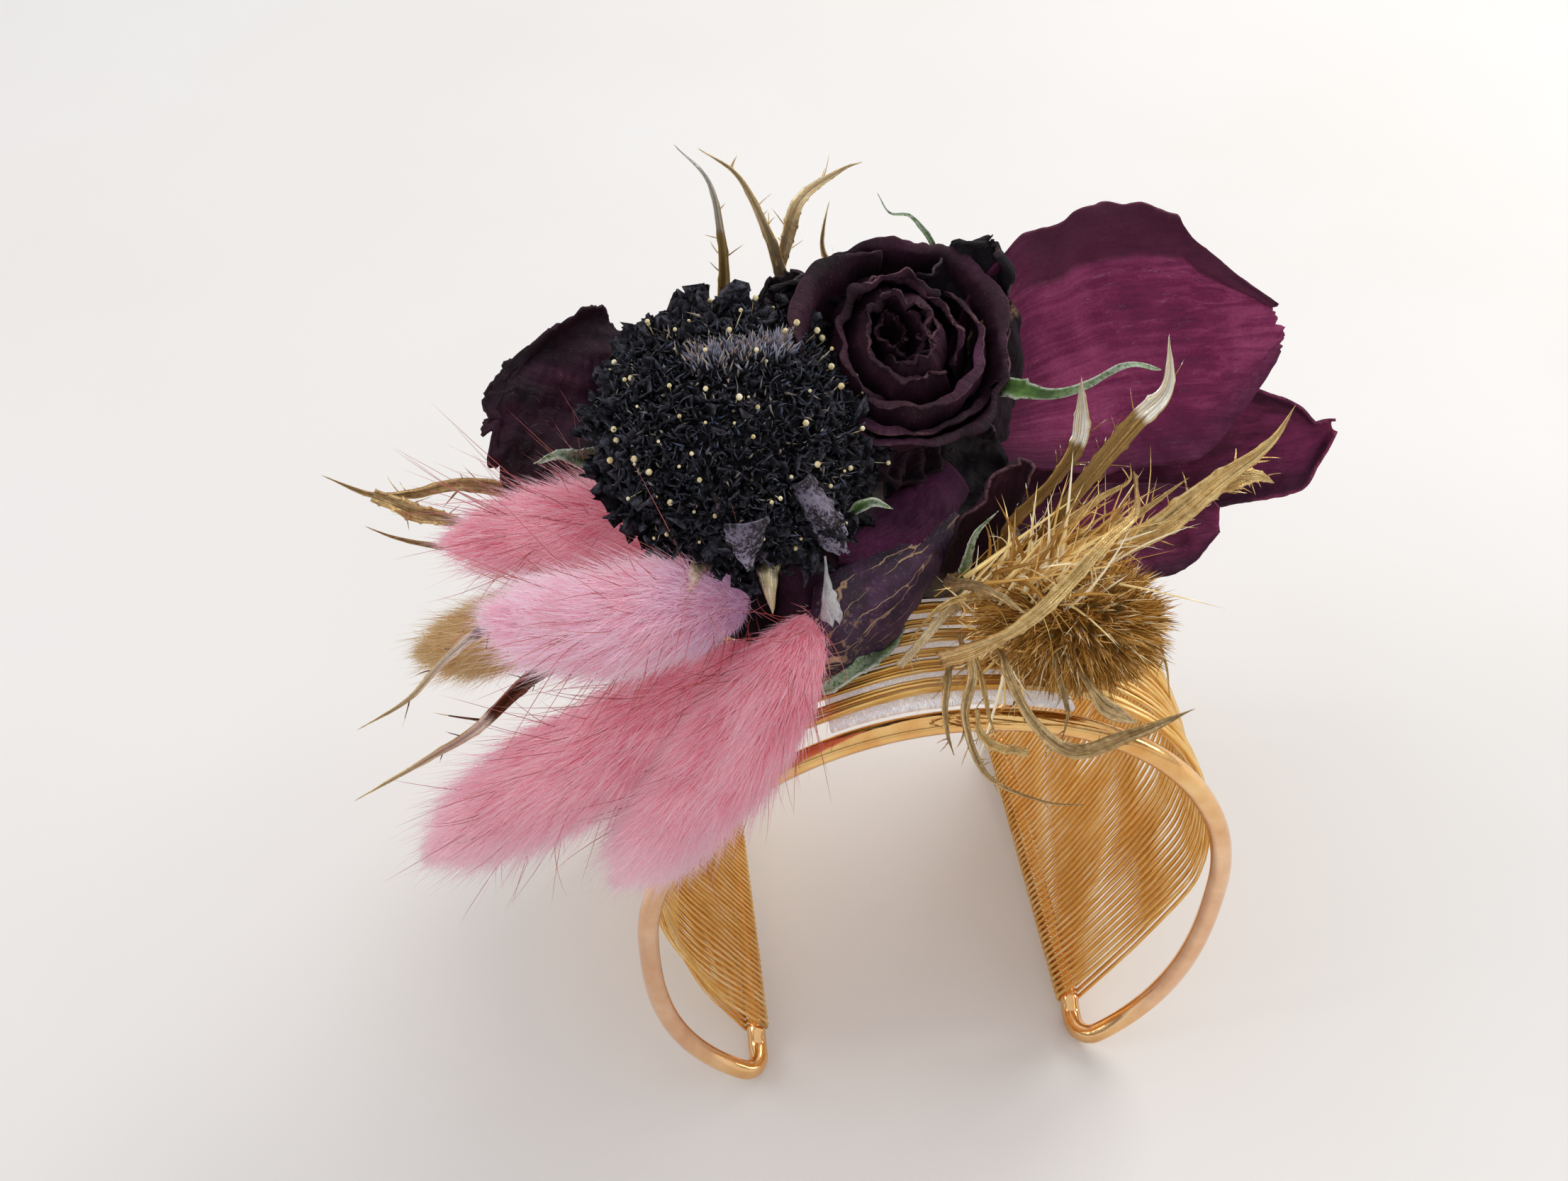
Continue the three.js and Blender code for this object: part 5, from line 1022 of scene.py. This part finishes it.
stemPlaces = at([[-200, -46, 165], [-200, -35, 135], [-190, -20, 90], [-80, -30, 30]])
makePiece("scabiosaStem", [stemTube(stemPlaces, 0.75 * mm, 40, [0, 1, 0])], "stem")
print("scabiosa made")

# grass tails
fur = dict(rows=90, core=0.52, thinnest=0.55 * mm, shortest=1.2 * mm, longest=6 * mm, hair=0.05 * mm,
           proud=1.5 * mm)
pinkPlump = [0.1, 0.1, 0.2, 0.6, 0.9, 1, 1, 0.9, 0.64, 0.2]
tails = {
    "pinkTailTop": dict(
        finish="paleFur", width=12.2 * mm, hairs=17000, seed=81, fluff=0.95,
        route=[[-100, -70, 30], [-187, -130, 60], [-223, -170, 92], [-267, -200, 116],
               [-308, -220, 128], [-363, -230, 140], [-408, -240, 160]]),
    "pinkTailBack": dict(
        finish="pinkFur", width=10.6 * mm, hairs=12000, seed=82, fluff=1.0,
        route=[[-100, -10, 30], [-200, -20, 45], [-262, -50, 68], [-296, -60, 95],
               [-349, -80, 118], [-402, -90, 120], [-451, -95, 121]]),
    "pinkTailLeft": dict(
        finish="pinkFur", width=12.6 * mm, hairs=18500, seed=83, fluff=1.0,
        route=[[-100, -90, 22], [-160, -150, 30], [-220, -190, 22], [-270, -220, 12],
               [-325, -250, -6], [-407, -270, -42], [-490, -280, -91]]),
    "pinkTailFront": dict(
        finish="pinkFur", width=12.6 * mm, hairs=18500, seed=84, fluff=1.05,
        route=[[-80, -100, 30], [-110, -150, 50], [-141, -200, 57], [-175, -240, 37],
               [-229, -280, -9], [-271, -300, -51], [-318, -310, -111]],
        plump=[0.1, 0.1, 0.4, 0.8, 0.95, 1, 0.95, 0.85, 0.6, 0.2]),
    "goldTail": dict(
        finish="goldFur", width=10.5 * mm, hairs=10000, seed=85, fluff=0.8,
        route=[[-90, -30, 15], [-200, -50, 20], [-300, -75, 22], [-375, -80, 5],
               [-416, -70, -20], [-459, -60, -44], [-499, -50, -63]],
        plump=[0.1, 0.1, 0.1, 0.1, 0.14, 0.6, 0.95, 1, 0.85, 0.3]),
}


def tailParts(size):
    # core of half the plump radius; hairs start on it and lean towards the tip, and end at the full
    # radius: length = (full - core) / sin(lean)
    chance = np.random.default_rng(size["seed"])
    line = smoothPath(at(size["route"]), fur["rows"])
    tangent, side, up = frameAlong(line, [0, 0, 1])
    plump = np.array(size.get("plump", pinkPlump))
    rows = np.arange(fur["rows"])
    full = np.interp(rows / rows[-1], np.linspace(0, 1, len(plump)), plump) * size["width"] / 2
    full = smoothed(np.maximum(full, 0.6 * mm), 8)
    core = np.maximum(full * fur["core"], fur["thinnest"])
    tube = tubePart(line, side, up, core, 20)
    count = size["hairs"]
    weight = np.where(full > 1.2 * mm, full, 0)
    place = chance.choice(fur["rows"], count, p=weight / weight.sum()) + chance.uniform(0, 1, count)
    pick = lambda ways: np.stack([np.interp(place, rows, ways[:, k]) for k in range(3)], 1)
    spot, way = pick(line), unit(pick(tangent))
    turn = chance.uniform(0, 2 * math.pi, count)[:, None]
    out = unit(swing(pick(side), pick(up), turn))
    coreHere, fullHere = (np.interp(place, rows, radius) for radius in (core, full))
    close = ease((rows[-1] - place) / 7)  # 0 at the tip: straight hairs cover the core's end
    roots = spot + out * (coreHere * (0.9 - 0.7 * (1 - close) * (np.arange(count) % 3 > 0)))[:, None]
    lean = chance.normal(0.62, 0.16, count) * (0.2 + 0.8 * close)
    clump = ripple(np.concatenate([roots * 1000, out * 3], 1), 5.0, size["seed"] + 1, 2)[:, None]
    swirl = np.cross(out, way) * (clump * 0.3 + chance.normal(0, 0.1, (count, 1)))
    aims = unit(way * np.cos(lean)[:, None] + out * np.sin(lean)[:, None] + swirl)
    lengths = (fullHere - coreHere) / np.sin(np.clip(lean, 0.35, 1.2))
    lengths = np.clip(lengths, fur["shortest"], fur["longest"]) * chance.uniform(0.7, 1.15, count)
    lengths = lengths * np.where(chance.uniform(0, 1, count) < 0.07, 1.45, 1)
    curls = (way * 0.25 - out * 0.12 + chance.normal(0, 0.12, (count, 3))) * lengths[:, None]
    front = cadBox[0][1] - fur["proud"]  # hairs in front of the object's front plane are cut shorter
    ends = roots[:, 1] + aims[:, 1] * lengths * size["fluff"] + curls[:, 1]
    keep = np.clip((roots[:, 1] - front) / np.maximum(roots[:, 1] - ends, 1e-6), 0.15, 1)
    lengths, curls = lengths * keep, curls * keep[:, None]
    return [tube, strandPart(roots, aims, lengths * size["fluff"], fur["hair"], curls, 2, size["seed"])]


for name, size in tails.items():
    makePiece(name, tailParts(size), size["finish"])
print("tails made")

# long awns of the pink tails
chance = np.random.default_rng(90)
awnCount = 140  # on each tail
awnRows = (24, 78)  # the rows of the tail that they start from
awnParts = []
for name in ("pinkTailTop", "pinkTailBack", "pinkTailLeft", "pinkTailFront"):
    size = tails[name]
    line = smoothPath(at(size["route"]), fur["rows"])
    tangent, side, up = frameAlong(line, [0, 0, 1])
    pick = chance.integers(*awnRows, awnCount)
    turn = chance.uniform(0, 2 * math.pi, awnCount)[:, None]
    out = swing(side[pick], up[pick], turn)
    aims = unit(tangent[pick] + out * chance.uniform(0.35, 1.3, (awnCount, 1)))
    roots = line[pick] + out * size["width"] * 0.2
    lengths, curls = chance.uniform(7, 14, awnCount) * mm, chance.normal(0, 1.6, (awnCount, 3)) * mm
    inside = (roots + aims * lengths[:, None] + curls)[:, 1] > cadBox[0][1] - 1.2 * mm
    roots, aims, lengths, curls = (values[inside] for values in (roots, aims, lengths, curls))
    awnParts.append(strandPart(roots, aims, lengths, 0.055 * mm, curls, 6, 3))
makePiece("pinkAwns", awnParts, "awn", weld=False)

# thistle head
thistle = dict(ends=[[37, -205, 88], [188, -215, 56]], length=19.5 * mm, width=14.6 * mm, bristle=3.2 * mm,
               clumps=400, each=12)


def thistleParts():
    # bristles of one clump start close together on the core and meet near one outer point
    chance = np.random.default_rng(21)
    left, right = at(thistle["ends"])
    centre, axis = (left + right) / 2, unit(right - left)
    side = unit(np.cross(axis, [0, 0, 1]))
    other = np.cross(axis, side)
    reach = np.array([thistle["length"], thistle["width"], thistle["width"]]) / 2
    i = np.arange(thistle["clumps"])
    flat = 1 - 2 * (i + 0.5) / len(i)
    turn = i * goldenTurn
    wide = np.sqrt(1 - flat ** 2)
    ball = stacked(flat, wide * np.cos(turn), wide * np.sin(turn))
    ball = unit(ball + chance.normal(0, 0.05, ball.shape))
    basis = np.stack([axis, side, other])
    inner = reach - thistle["bristle"]
    count = len(i) * thistle["each"]
    rootBall = unit(np.repeat(ball, thistle["each"], 0) + chance.normal(0, 0.085, (count, 3)))
    tipBall = unit(np.repeat(ball, thistle["each"], 0) + chance.normal(0, 0.035, (count, 3)))
    roots = centre + (rootBall * inner) @ basis
    tips = centre + (tipBall * reach * chance.uniform(0.86, 1.1, (count, 1))) @ basis
    run = tips - roots
    lengths = np.linalg.norm(run, axis=1)
    curls = chance.normal(0, 0.35, (count, 3)) * mm + np.array([0, 0, -0.25 * mm])
    strands = strandPart(roots, unit(run), lengths, chance.uniform(0.07, 0.14, count) * mm, curls, 3, 22)
    core = domeGrid(centre - axis * inner[0], axis, inner[1] * 2, inner[0] * 2, 18, 24,
                    [(0, 0), (0.05, 0.4), (0.2, 0.8), (0.5, 1), (0.8, 0.8), (0.95, 0.4), (1, 0)])
    stem = stemTube([centre, at([40, -160, 60]), at([60, -40, 30])], 0.85 * mm, 30, [0, 0, 1])
    return [gridPart(core, around=True), strands, stem]


makePiece("thistleHead", thistleParts(), "bristle")


def strawParts(root, aim, count, spreadOut, fan, lengths, bend, seed):  # curved straws from a small patch
    chance = np.random.default_rng(seed)
    roots = at(root) + chance.normal(0, 1, (count, 3)) * np.array(spreadOut) * mm
    aims = unit(unit(np.array(aim, float)) + chance.normal(0, fan, (count, 3)))
    return strandPart(roots, aims, chance.uniform(*lengths, count) * mm,
                      chance.uniform(0.08, 0.34, count) * mm, chance.normal(0, bend, (count, 3)) * mm,
                      6, seed)


makePiece("thistleStraws", [
    strawParts([75, -200, 105], [0.65, -0.1, 1], 280, [2.6, 0.8, 1.8], 0.27, (3.5, 10), 2.6, 31),
    strawParts([45, -200, 70], [-0.8, -0.4, -0.1], 34, [1.0, 0.8, 1.0], 0.4, (2, 4.2), 1.8, 32),
    strawParts([45, -215, 60], [-0.15, -0.45, -0.8], 30, [1.4, 0.6, 0.6], 0.4, (4, 8.5), 2.0, 33),
], "straw", weld=False)
print("thistle made")


# blades and slivers
bladeRows = 70


def bladeParts(route, width, face=(0, -0.8, 0.6), tipShare=0.04, rootShare=0.7, spines=(), teeth=9,
               barbs=10, channel=0.3, twist=0, thick=0.34, seed=1, fork=None, square=False, belly=0.35,
               power=1.1):
    # strip along the route: half width swells up to its belly, then tapers; teeth on both margins, V across
    chance = np.random.default_rng(seed)
    line = smoothPath(at(route), bladeRows)
    tangent, side, up = frameAlong(line, unit(np.array(face, float)))
    s = np.linspace(0, 1, bladeRows)
    turn = (twist * s + 0.4 * ripple(s[:, None] * 3, 2.0, seed, 2))[:, None]
    side, up = swing(side, up, turn), swing(up, -side, turn)
    taper = 1 + (tipShare - 1) * (np.clip((s - belly) / (1 - belly), 0, 1) ** power)
    half = np.where(s < belly, rootShare + (1 - rootShare) * ease(s / belly), taper) * width * mm / 2
    if not square:
        half = half * np.sqrt(np.clip((1 - s) * 14, 0, 1))
    t = np.linspace(-1, 1, 9)[None]
    tooth = [0.22 * np.clip(np.sin(teeth * 2 * math.pi * s + k * 2 + seed), 0, 1) ** 5 for k in (0, 1)]
    edge = np.where(t < 0, 1 + tooth[0][:, None] * np.abs(t) ** 4, 1 + tooth[1][:, None] * np.abs(t) ** 4)
    across = t * half[:, None] * edge
    rise = (channel * 1.3 + 0.2) * (np.abs(t) - 0.4) * half[:, None]
    rise = rise + (0.07 * np.cos(t * 9) + 0.2 * np.exp(-(t / 0.2) ** 2)) * half[:, None]
    grid = line[:, None] + side[:, None] * across[..., None] + up[:, None] * rise[..., None]
    depth = thick * mm * np.clip(half[:, None] / (0.5 * mm), 0.35, 1) * (1.05 - t ** 4 * 0.6)
    parts = [sheetPart(grid, depth)]
    roots, aims, lengths = [], [], []
    for place, way, reach in spines:
        i = int(place * (bladeRows - 1))
        aim = unit(tangent[i] * 0.9 + side[i] * np.sign(way))
        roots.append(line[i]), aims.append(aim), lengths.append(width * mm * reach)
    for i in chance.integers(6, bladeRows - 6, barbs):
        sign = chance.choice([-1, 1])
        roots.append(line[i] + side[i] * sign * half[i] * 0.8)
        aim = tangent[i] * chance.uniform(0.5, 1.3) + side[i] * sign + up[i] * chance.normal(0, 0.5)
        aims.append(unit(aim))
        lengths.append(chance.uniform(0.7, 2.4) * mm)
    if roots:
        count = len(roots)
        radii = np.where(np.arange(count) < len(spines), 0.18, 0.08) * mm
        parts.append(strandPart(np.array(roots), np.array(aims), np.array(lengths), radii,
                                chance.normal(0, 0.25, (count, 3)) * mm, 4, seed))
    if fork:
        parts += bladeParts(fork, width * 0.75, face, tipShare, rootShare, (), teeth, barbs // 2, channel,
                            twist, thick, seed + 1)
    return parts


blades = {  # finish, then width in mm and places in tenths of a mm
    "thistleBlade1": ("lance", dict(width=1.75, route=[[50, -150, 80], [63, -170, 125], [83, -185, 165],
        [116, -180, 217], [155, -170, 270], [179, -162, 298], [180, -145, 343]], rootShare=0.45, belly=0.8,
        power=1, spines=[(0.4, 1, 1.6), (0.6, -1, 1.3)])),
    "thistleBlade2": ("gilt", dict(width=2.3, route=[[70, -130, 85], [105, -165, 112], [147, -190, 140],
        [191, -190, 165], [237, -180, 202], [282, -170, 234], [303, -160, 267]], fork=[[235, -180, 188],
        [255, -177, 200], [276, -174, 200], [297, -170, 186]], rootShare=0.4, belly=0.6,
        spines=[(0.35, -1, 1.6), (0.45, 1, 1.2), (0.6, -1, 1.5), (0.68, 1, 1.6), (0.76, -1, 1),
        (0.8, 1, 1)], teeth=7, barbs=16)),
    "thistleBlade3": ("gilt", dict(width=1.4, route=[[60, -140, 100], [95, -175, 135], [149, -190, 168],
        [211, -180, 210]], spines=[(0.5, 1, 2)])),
    "thistleBlade4": ("lance", dict(width=1.5, route=[[35, -140, 90], [48, -165, 120], [55, -170, 160],
        [85, -170, 206], [108, -160, 239], [113, -150, 262], [110, -140, 300]], rootShare=0.5, belly=0.82,
        power=1, spines=[(0.45, -1, 1.6), (0.65, 1, 1.6)])),
    "thistleBlade5": ("gilt", dict(width=1.3, route=[[55, -160, 110], [85, -185, 150], [123, -190, 199],
        [150, -190, 218], [153, -180, 232]])),
    "thistleBlade6": ("gilt", dict(width=1.5, route=[[165, -165, 205], [141, -240, 226], [105, -275, 226],
        [65, -305, 206], [35, -305, 170], [0, -285, 122], [-23, -265, 91]], rootShare=0.4, tipShare=1,
        belly=0.9, square=True, barbs=5)),
    "thistleBlade7": ("brownGilt", dict(width=1.5, face=[0.4, -0.2, 0.9], route=[[20, -150, 80],
        [-5, -190, 110], [16, -240, 150], [49, -285, 155]], twist=2.2, channel=0.6, barbs=3)),
    "thistleBlade8": ("paleGilt", dict(width=0.9, route=[[30, -160, 60], [0, -185, 70], [-22, -200, 56],
        [-49, -210, 28]], tipShare=0.9, square=True, barbs=9)),
    "thistleBlade9": ("brownGilt", dict(width=1.5, face=[0.5, -0.3, 0.8], route=[[30, -200, 50],
        [33, -260, 85], [35, -285, 80], [58, -305, 37], [99, -310, -2], [149, -310, 15], [206, -310, 46]],
        channel=0.5, rootShare=0.4, belly=0.75, barbs=9, teeth=3)),
    "thistleBlade10": ("brownGilt", dict(width=1, face=[0.5, -0.3, 0.8], route=[[10, -200, 50],
        [-2, -250, 95], [1, -285, 90], [-7, -305, 52], [20, -310, -24], [78, -310, -69], [124, -300, -92]],
        channel=0.5, spines=[(0.45, 1, 2.2), (0.6, -1, 1)], barbs=9, teeth=3)),
    "topBladeSilver": ("silver", dict(width=1.7, face=[0, -0.9, 0.4], route=[[-85, 50, 40], [-160, 90, 130],
        [-180, 90, 232], [-180, 90, 278], [-182, 90, 319], [-193, 90, 377], [-224, 80, 423]], channel=0.7,
        spines=[(0.5, -1, 2.2)])),
    "topBladeFork": ("paintedLightGilt", dict(width=1.8, face=[0, -0.9, 0.4], route=[[-60, 55, 40],
        [-105, 100, 130], [-119, 100, 242], [-128, 100, 280], [-139, 100, 316], [-164, 100, 375],
        [-202, 90, 412]], fork=[[-126, 100, 272], [-107, 110, 337], [-67, 120, 363], [-45, 120, 371]],
        channel=0.8, spines=[(0.9, 1, 0.8)])),
    "topBladeBack": ("paintedLightGilt", dict(width=1.6, face=[0, -0.9, 0.4], route=[[-35, 60, 40],
        [-60, 120, 140], [-69, 130, 235], [-80, 130, 273], [-79, 130, 299], [-73, 135, 323]], channel=0.6)),
    "leftBladeUpper": ("brownGilt", dict(width=2.4, face=[0, -0.7, 0.7], route=[[-140, 30, 20],
        [-270, 20, 50], [-368, 0, 84], [-442, -10, 122], [-494, -20, 124], [-530, -30, 134],
        [-571, -40, 171]], fork=[[-530, -30, 134], [-500, -35, 118], [-463, -35, 100], [-422, -25, 75]],
        channel=0.5, spines=[(0.7, -1, 1.2)])),
    "leftBladeLower": ("brownGilt", dict(width=1.8, face=[0, -0.7, 0.7], route=[[-130, 20, 15],
        [-280, 0, 35], [-380, -20, 50], [-457, -40, 68], [-510, -50, 94], [-538, -60, 122]], channel=0.5)),
    "leftBladeNear": ("tipped", dict(width=1.9, face=[0, -0.7, 0.7], route=[[-120, -50, 20],
        [-260, -90, 35], [-360, -110, 45], [-425, -120, 39], [-473, -150, 26], [-510, -180, 7],
        [-559, -200, -8]], channel=0.7, spines=[(0.68, -1, 1.6)])),
    "leftBladeFront": ("tipped", dict(width=2.1, face=[0, -0.7, 0.7], route=[[-110, -70, 20],
        [-240, -120, 22], [-330, -140, 12], [-393, -140, -16], [-450, -180, -40], [-499, -210, -45],
        [-571, -230, -74]], channel=0.6, spines=[(0.72, 1, 2.4)])),
    "sepalRight": ("sepal", dict(width=2.5, face=[0.1, -0.8, 0.6], route=[[70, -35, 215], [88, -62, 226],
        [122, -80, 238], [170, -82, 264], [206, -80, 255]], tipShare=0.16, belly=0.18, power=0.22, barbs=0,
        teeth=2)),
    "greenBit": ("sepal", dict(width=1, route=[[-88, -135, 158], [-70, -140, 174], [-48, -135, 159]],
        barbs=0, teeth=1, channel=0.8, seed=126)),
    "hangingSprig": ("gilt", dict(width=0.9, face=[0.2, -0.8, 0.6], route=[[5, -300, 60], [9, -305, 32],
        [30, -305, 10], [58, -300, -7]], rootShare=0.5, tipShare=0.8, belly=0.6, square=True, barbs=8,
        seed=130)),
    "hangingLeaf": ("brownGilt", dict(width=1.6, face=[0.2, -0.6, 0.7], route=[[100, -250, 70],
        [121, -280, 41], [142, -280, 16], [173, -270, -16]], rootShare=0.2, belly=0.6, barbs=3, teeth=0,
        seed=131)),
    "hangingCurlA": ("brownGilt", dict(width=0.7, face=[0.2, -0.8, 0.6], route=[[-10, -250, 85],
        [-25, -300, 69], [-21, -305, 36], [-11, -300, -2]], barbs=5, seed=132)),
    "hangingCurlB": ("gilt", dict(width=0.6, face=[0.2, -0.8, 0.6], route=[[10, -250, 85], [13, -295, 68],
        [18, -300, 45], [26, -300, 23]], barbs=5, seed=133)),
    "hangingCurlC": ("brownGilt", dict(width=0.7, face=[0.2, -0.8, 0.6], route=[[80, -250, 80],
        [93, -285, 38], [94, -290, 20], [89, -300, 5]], barbs=6, seed=134)),
    "hangingHair": ("gilt", dict(width=0.35, face=[0.2, -0.8, 0.6], route=[[170, -220, 70], [186, -220, 58],
        [199, -240, 35], [212, -240, -16]], barbs=1, teeth=0, seed=135)),
    "leftTwig": ("gilt", dict(width=0.7, face=[0.2, -0.8, 0.6], route=[[30, -220, 120], [-6, -240, 140],
        [-29, -250, 137], [-50, -250, 102]], barbs=6, seed=136)),
    "sepalLeft": ("sepal", dict(width=2.4, route=[[-290, -10, 130], [-344, -40, 173], [-375, -50, 174]],
        barbs=0, channel=0.6, seed=119)),
    "sepalUnderBud": ("sepal", dict(width=2.4, face=[0, -0.3, 1], route=[[-30, -130, 35], [-54, -170, 26],
        [-96, -215, 24], [-128, -230, 22]], tipShare=0.5, barbs=0, channel=0.8, seed=120)),
    "sepalMiddle": ("sepal", dict(width=1.2, face=[0, -0.9, 0.3], route=[[15, -130, 50], [17, -155, 75],
        [27, -150, 130], [51, -140, 152]], barbs=0, channel=0.6, seed=121)),
    "tendrilTop": ("sepal", dict(width=0.7, route=[[30, 112, 240], [22, 90, 292], [-4, 75, 336],
        [-25, 75, 342], [-37, 80, 361]], barbs=0, teeth=3, seed=122)),
    "whiteBract": ("wool", dict(width=1.5, face=[0.1, -0.9, 0.3], route=[[-118, -185, 153],
        [-115, -190, 115], [-112, -192, 75]], fork=[[-116.5, -191, 125], [-111, -194, 100],
        [-103, -193, 76]], rootShare=0.1, tipShare=1, belly=0.97, square=True, barbs=0, teeth=0,
        channel=-0.9, thick=0.4, seed=123)),
    "paleBract1": ("paleScale", dict(width=2.3, route=[[-165, -150, 130], [-169, -180, 138],
        [-168, -210, 110]], barbs=0, teeth=0, channel=-0.5, seed=124)),
    "paleBract2": ("paleScale", dict(width=1.8, route=[[-215, -150, 140], [-233, -190, 152],
        [-248, -220, 142]], barbs=0, teeth=0, channel=-0.5, seed=125)),
}
for index, (name, (finish, shape)) in enumerate(blades.items()):
    makePiece(name, bladeParts(**{"seed": 101 + index, **shape}), finish)
print("blades made")


# hips and bud core
roseLean = unit(np.array(rose["lean"]))
hipFoot = at(rose["foot"]) - roseLean * 0.62 * rose["height"]
hip = domeGrid(hipFoot, roseLean, 7 * mm, 0.36 * rose["height"], 14, 20,
               [(0, 0), (0.1, 0.35), (0.45, 1), (0.8, 0.95), (1, 0)])
stemPlaces = [hipFoot + roseLean * mm, hipFoot - roseLean * 2 * mm, at([-18, 85, 80]), at([0, -10, 35])]
makePiece("roseHip", [gridPart(hip, around=True), stemTube(stemPlaces, 0.85 * mm)], "stem")


def budDome(low, high, width, rows, cols, profile):  # turned body from one place to another
    low, high = at([low, high])
    grid = domeGrid(low, high - low, width, np.linalg.norm(high - low), rows, cols, profile)
    return gridPart(grid, around=True)


makePiece("budCore", [budDome([0, -75, 70], [-120, -150, 85], 7.4 * mm, 20, 24,
                              [(0, 0), (0.12, 0.7), (0.4, 1), (0.75, 0.8), (1, 0)])], "black")
budCup = budDome([35, -60, 40], [8, -70, 68], 5.1 * mm, 12, 18, [(0, 0), (0.1, 0.5), (0.6, 1), (1, 0)])
stemPlaces = at([[25, -63, 50], [35, -50, 35], [30, -30, 20]])
makePiece("budHip", [budCup, stemTube(stemPlaces, 0.65 * mm)], "stem")
print("hips made")

# stage, light and camera
table = dict(reach=3, drop=0.0002)  # in metres; it lies a hair below the feet
tableCorners = [(x * table["reach"], y * table["reach"], -table["drop"])
                for x, y in ((-1, -1), (1, -1), (1, 1), (-1, 1))]
floorMesh = bpy.data.meshes.new("floor")
floorMesh.from_pydata(tableCorners, [], [(0, 1, 2, 3)])
floorMesh.materials.append(material("paleFloor", lambda g: {
    "Base Color": g.ramp(g.noise(g.place(), 9.0, 3.0), (0.35, "e7e4e1"), (0.65, "eae8e6")),
    "Roughness": 0.8}))
floor = addObject("floor", floorMesh)

world = bpy.data.worlds.new("studio")
bpy.context.scene.world = world
world.use_nodes = True
sky = Graph(world.node_tree)
high = sky.node("SeparateXYZ", {}, {"Vector": sky.node("TexCoord", out=0)}, out=2)
backdrop = sky.ramp(high, (0.0, (0.84, 0.84, 0.84)), (0.1, (0.84, 0.84, 0.84)), (0.24, (0.2, 0.2, 0.22)),
                    (0.42, (0.76, 0.77, 0.79)), (1.0, (0.84, 0.84, 0.86)))
sight, gloss, glass = (sky.node("LightPath", out=ray) for ray in (0, 3, 6))
seen = sight + gloss + glass  # the rays that see the backdrop; the others get an even grey
light = world.node_tree.nodes["Background"]
sky.join(sky.blend(seen, (0.66, 0.67, 0.69, 1), backdrop), light.inputs["Color"])
light.inputs["Strength"].default_value = 1.0


def stood(side, up, aim, place):  # matrix with three axes and a place as its columns
    columns = np.column_stack([side, up, aim, place])
    return Matrix([[*row] for row in np.vstack([columns, [0, 0, 0, 1]])])


lamps = {  # square softboxes aimed at the posy: place and size in metres, power in watts, colour
    "window": ([0.4, 0.32, 0.55], 0.34, 2.24, (1.0, 0.97, 0.93)),
    "rightRim": ([0.56, 0.02, 0.17], 0.12, 0.36, (1.0, 0.97, 0.93)),
    "leftFill": ([-0.55, 0.0, 0.45], 0.3, 0.9, (1.0, 0.97, 0.95)),
}
for name, (place, size, power, colour) in lamps.items():
    made = bpy.data.lights.new(name, "AREA")
    made.size, made.energy, made.color = size, power, colour
    aim = unit(np.array(place, float) - crown)
    side = unit(np.cross([0, 0, 1], aim))
    addObject(name, made).matrix_world = stood(side, np.cross(aim, side), aim, place)

# angles in degrees, place in mm from the ground point, lengths of the lens in pixels and in mm
view = dict(azimuth=-6.94, elevation=43.76, roll=0.22, place=[-29.03, -129.68, 178.82],
            focal=2400, width=2212, sensor=36)
azimuth, elevation, roll = (math.radians(view[angle]) for angle in ("azimuth", "elevation", "roll"))
level = np.array([math.sin(azimuth), -math.cos(azimuth), 0])
back = swing(level, np.array([0, 0, 1]), elevation)
right = np.array([math.cos(azimuth), math.sin(azimuth), 0])
top = np.cross(back, right)
right, top = swing(right, top, roll), swing(top, -right, roll)
lens = bpy.data.cameras.new("camera")
lens.sensor_width, lens.clip_start = view["sensor"], 0.01
lens.lens = view["focal"] / view["width"] * view["sensor"]
camera = addObject("camera", lens)
camera.matrix_world = stood(right, top, back, ground + np.array(view["place"]) * mm)
bpy.context.scene.camera = camera
bpy.context.scene.view_settings.view_transform = "Standard"
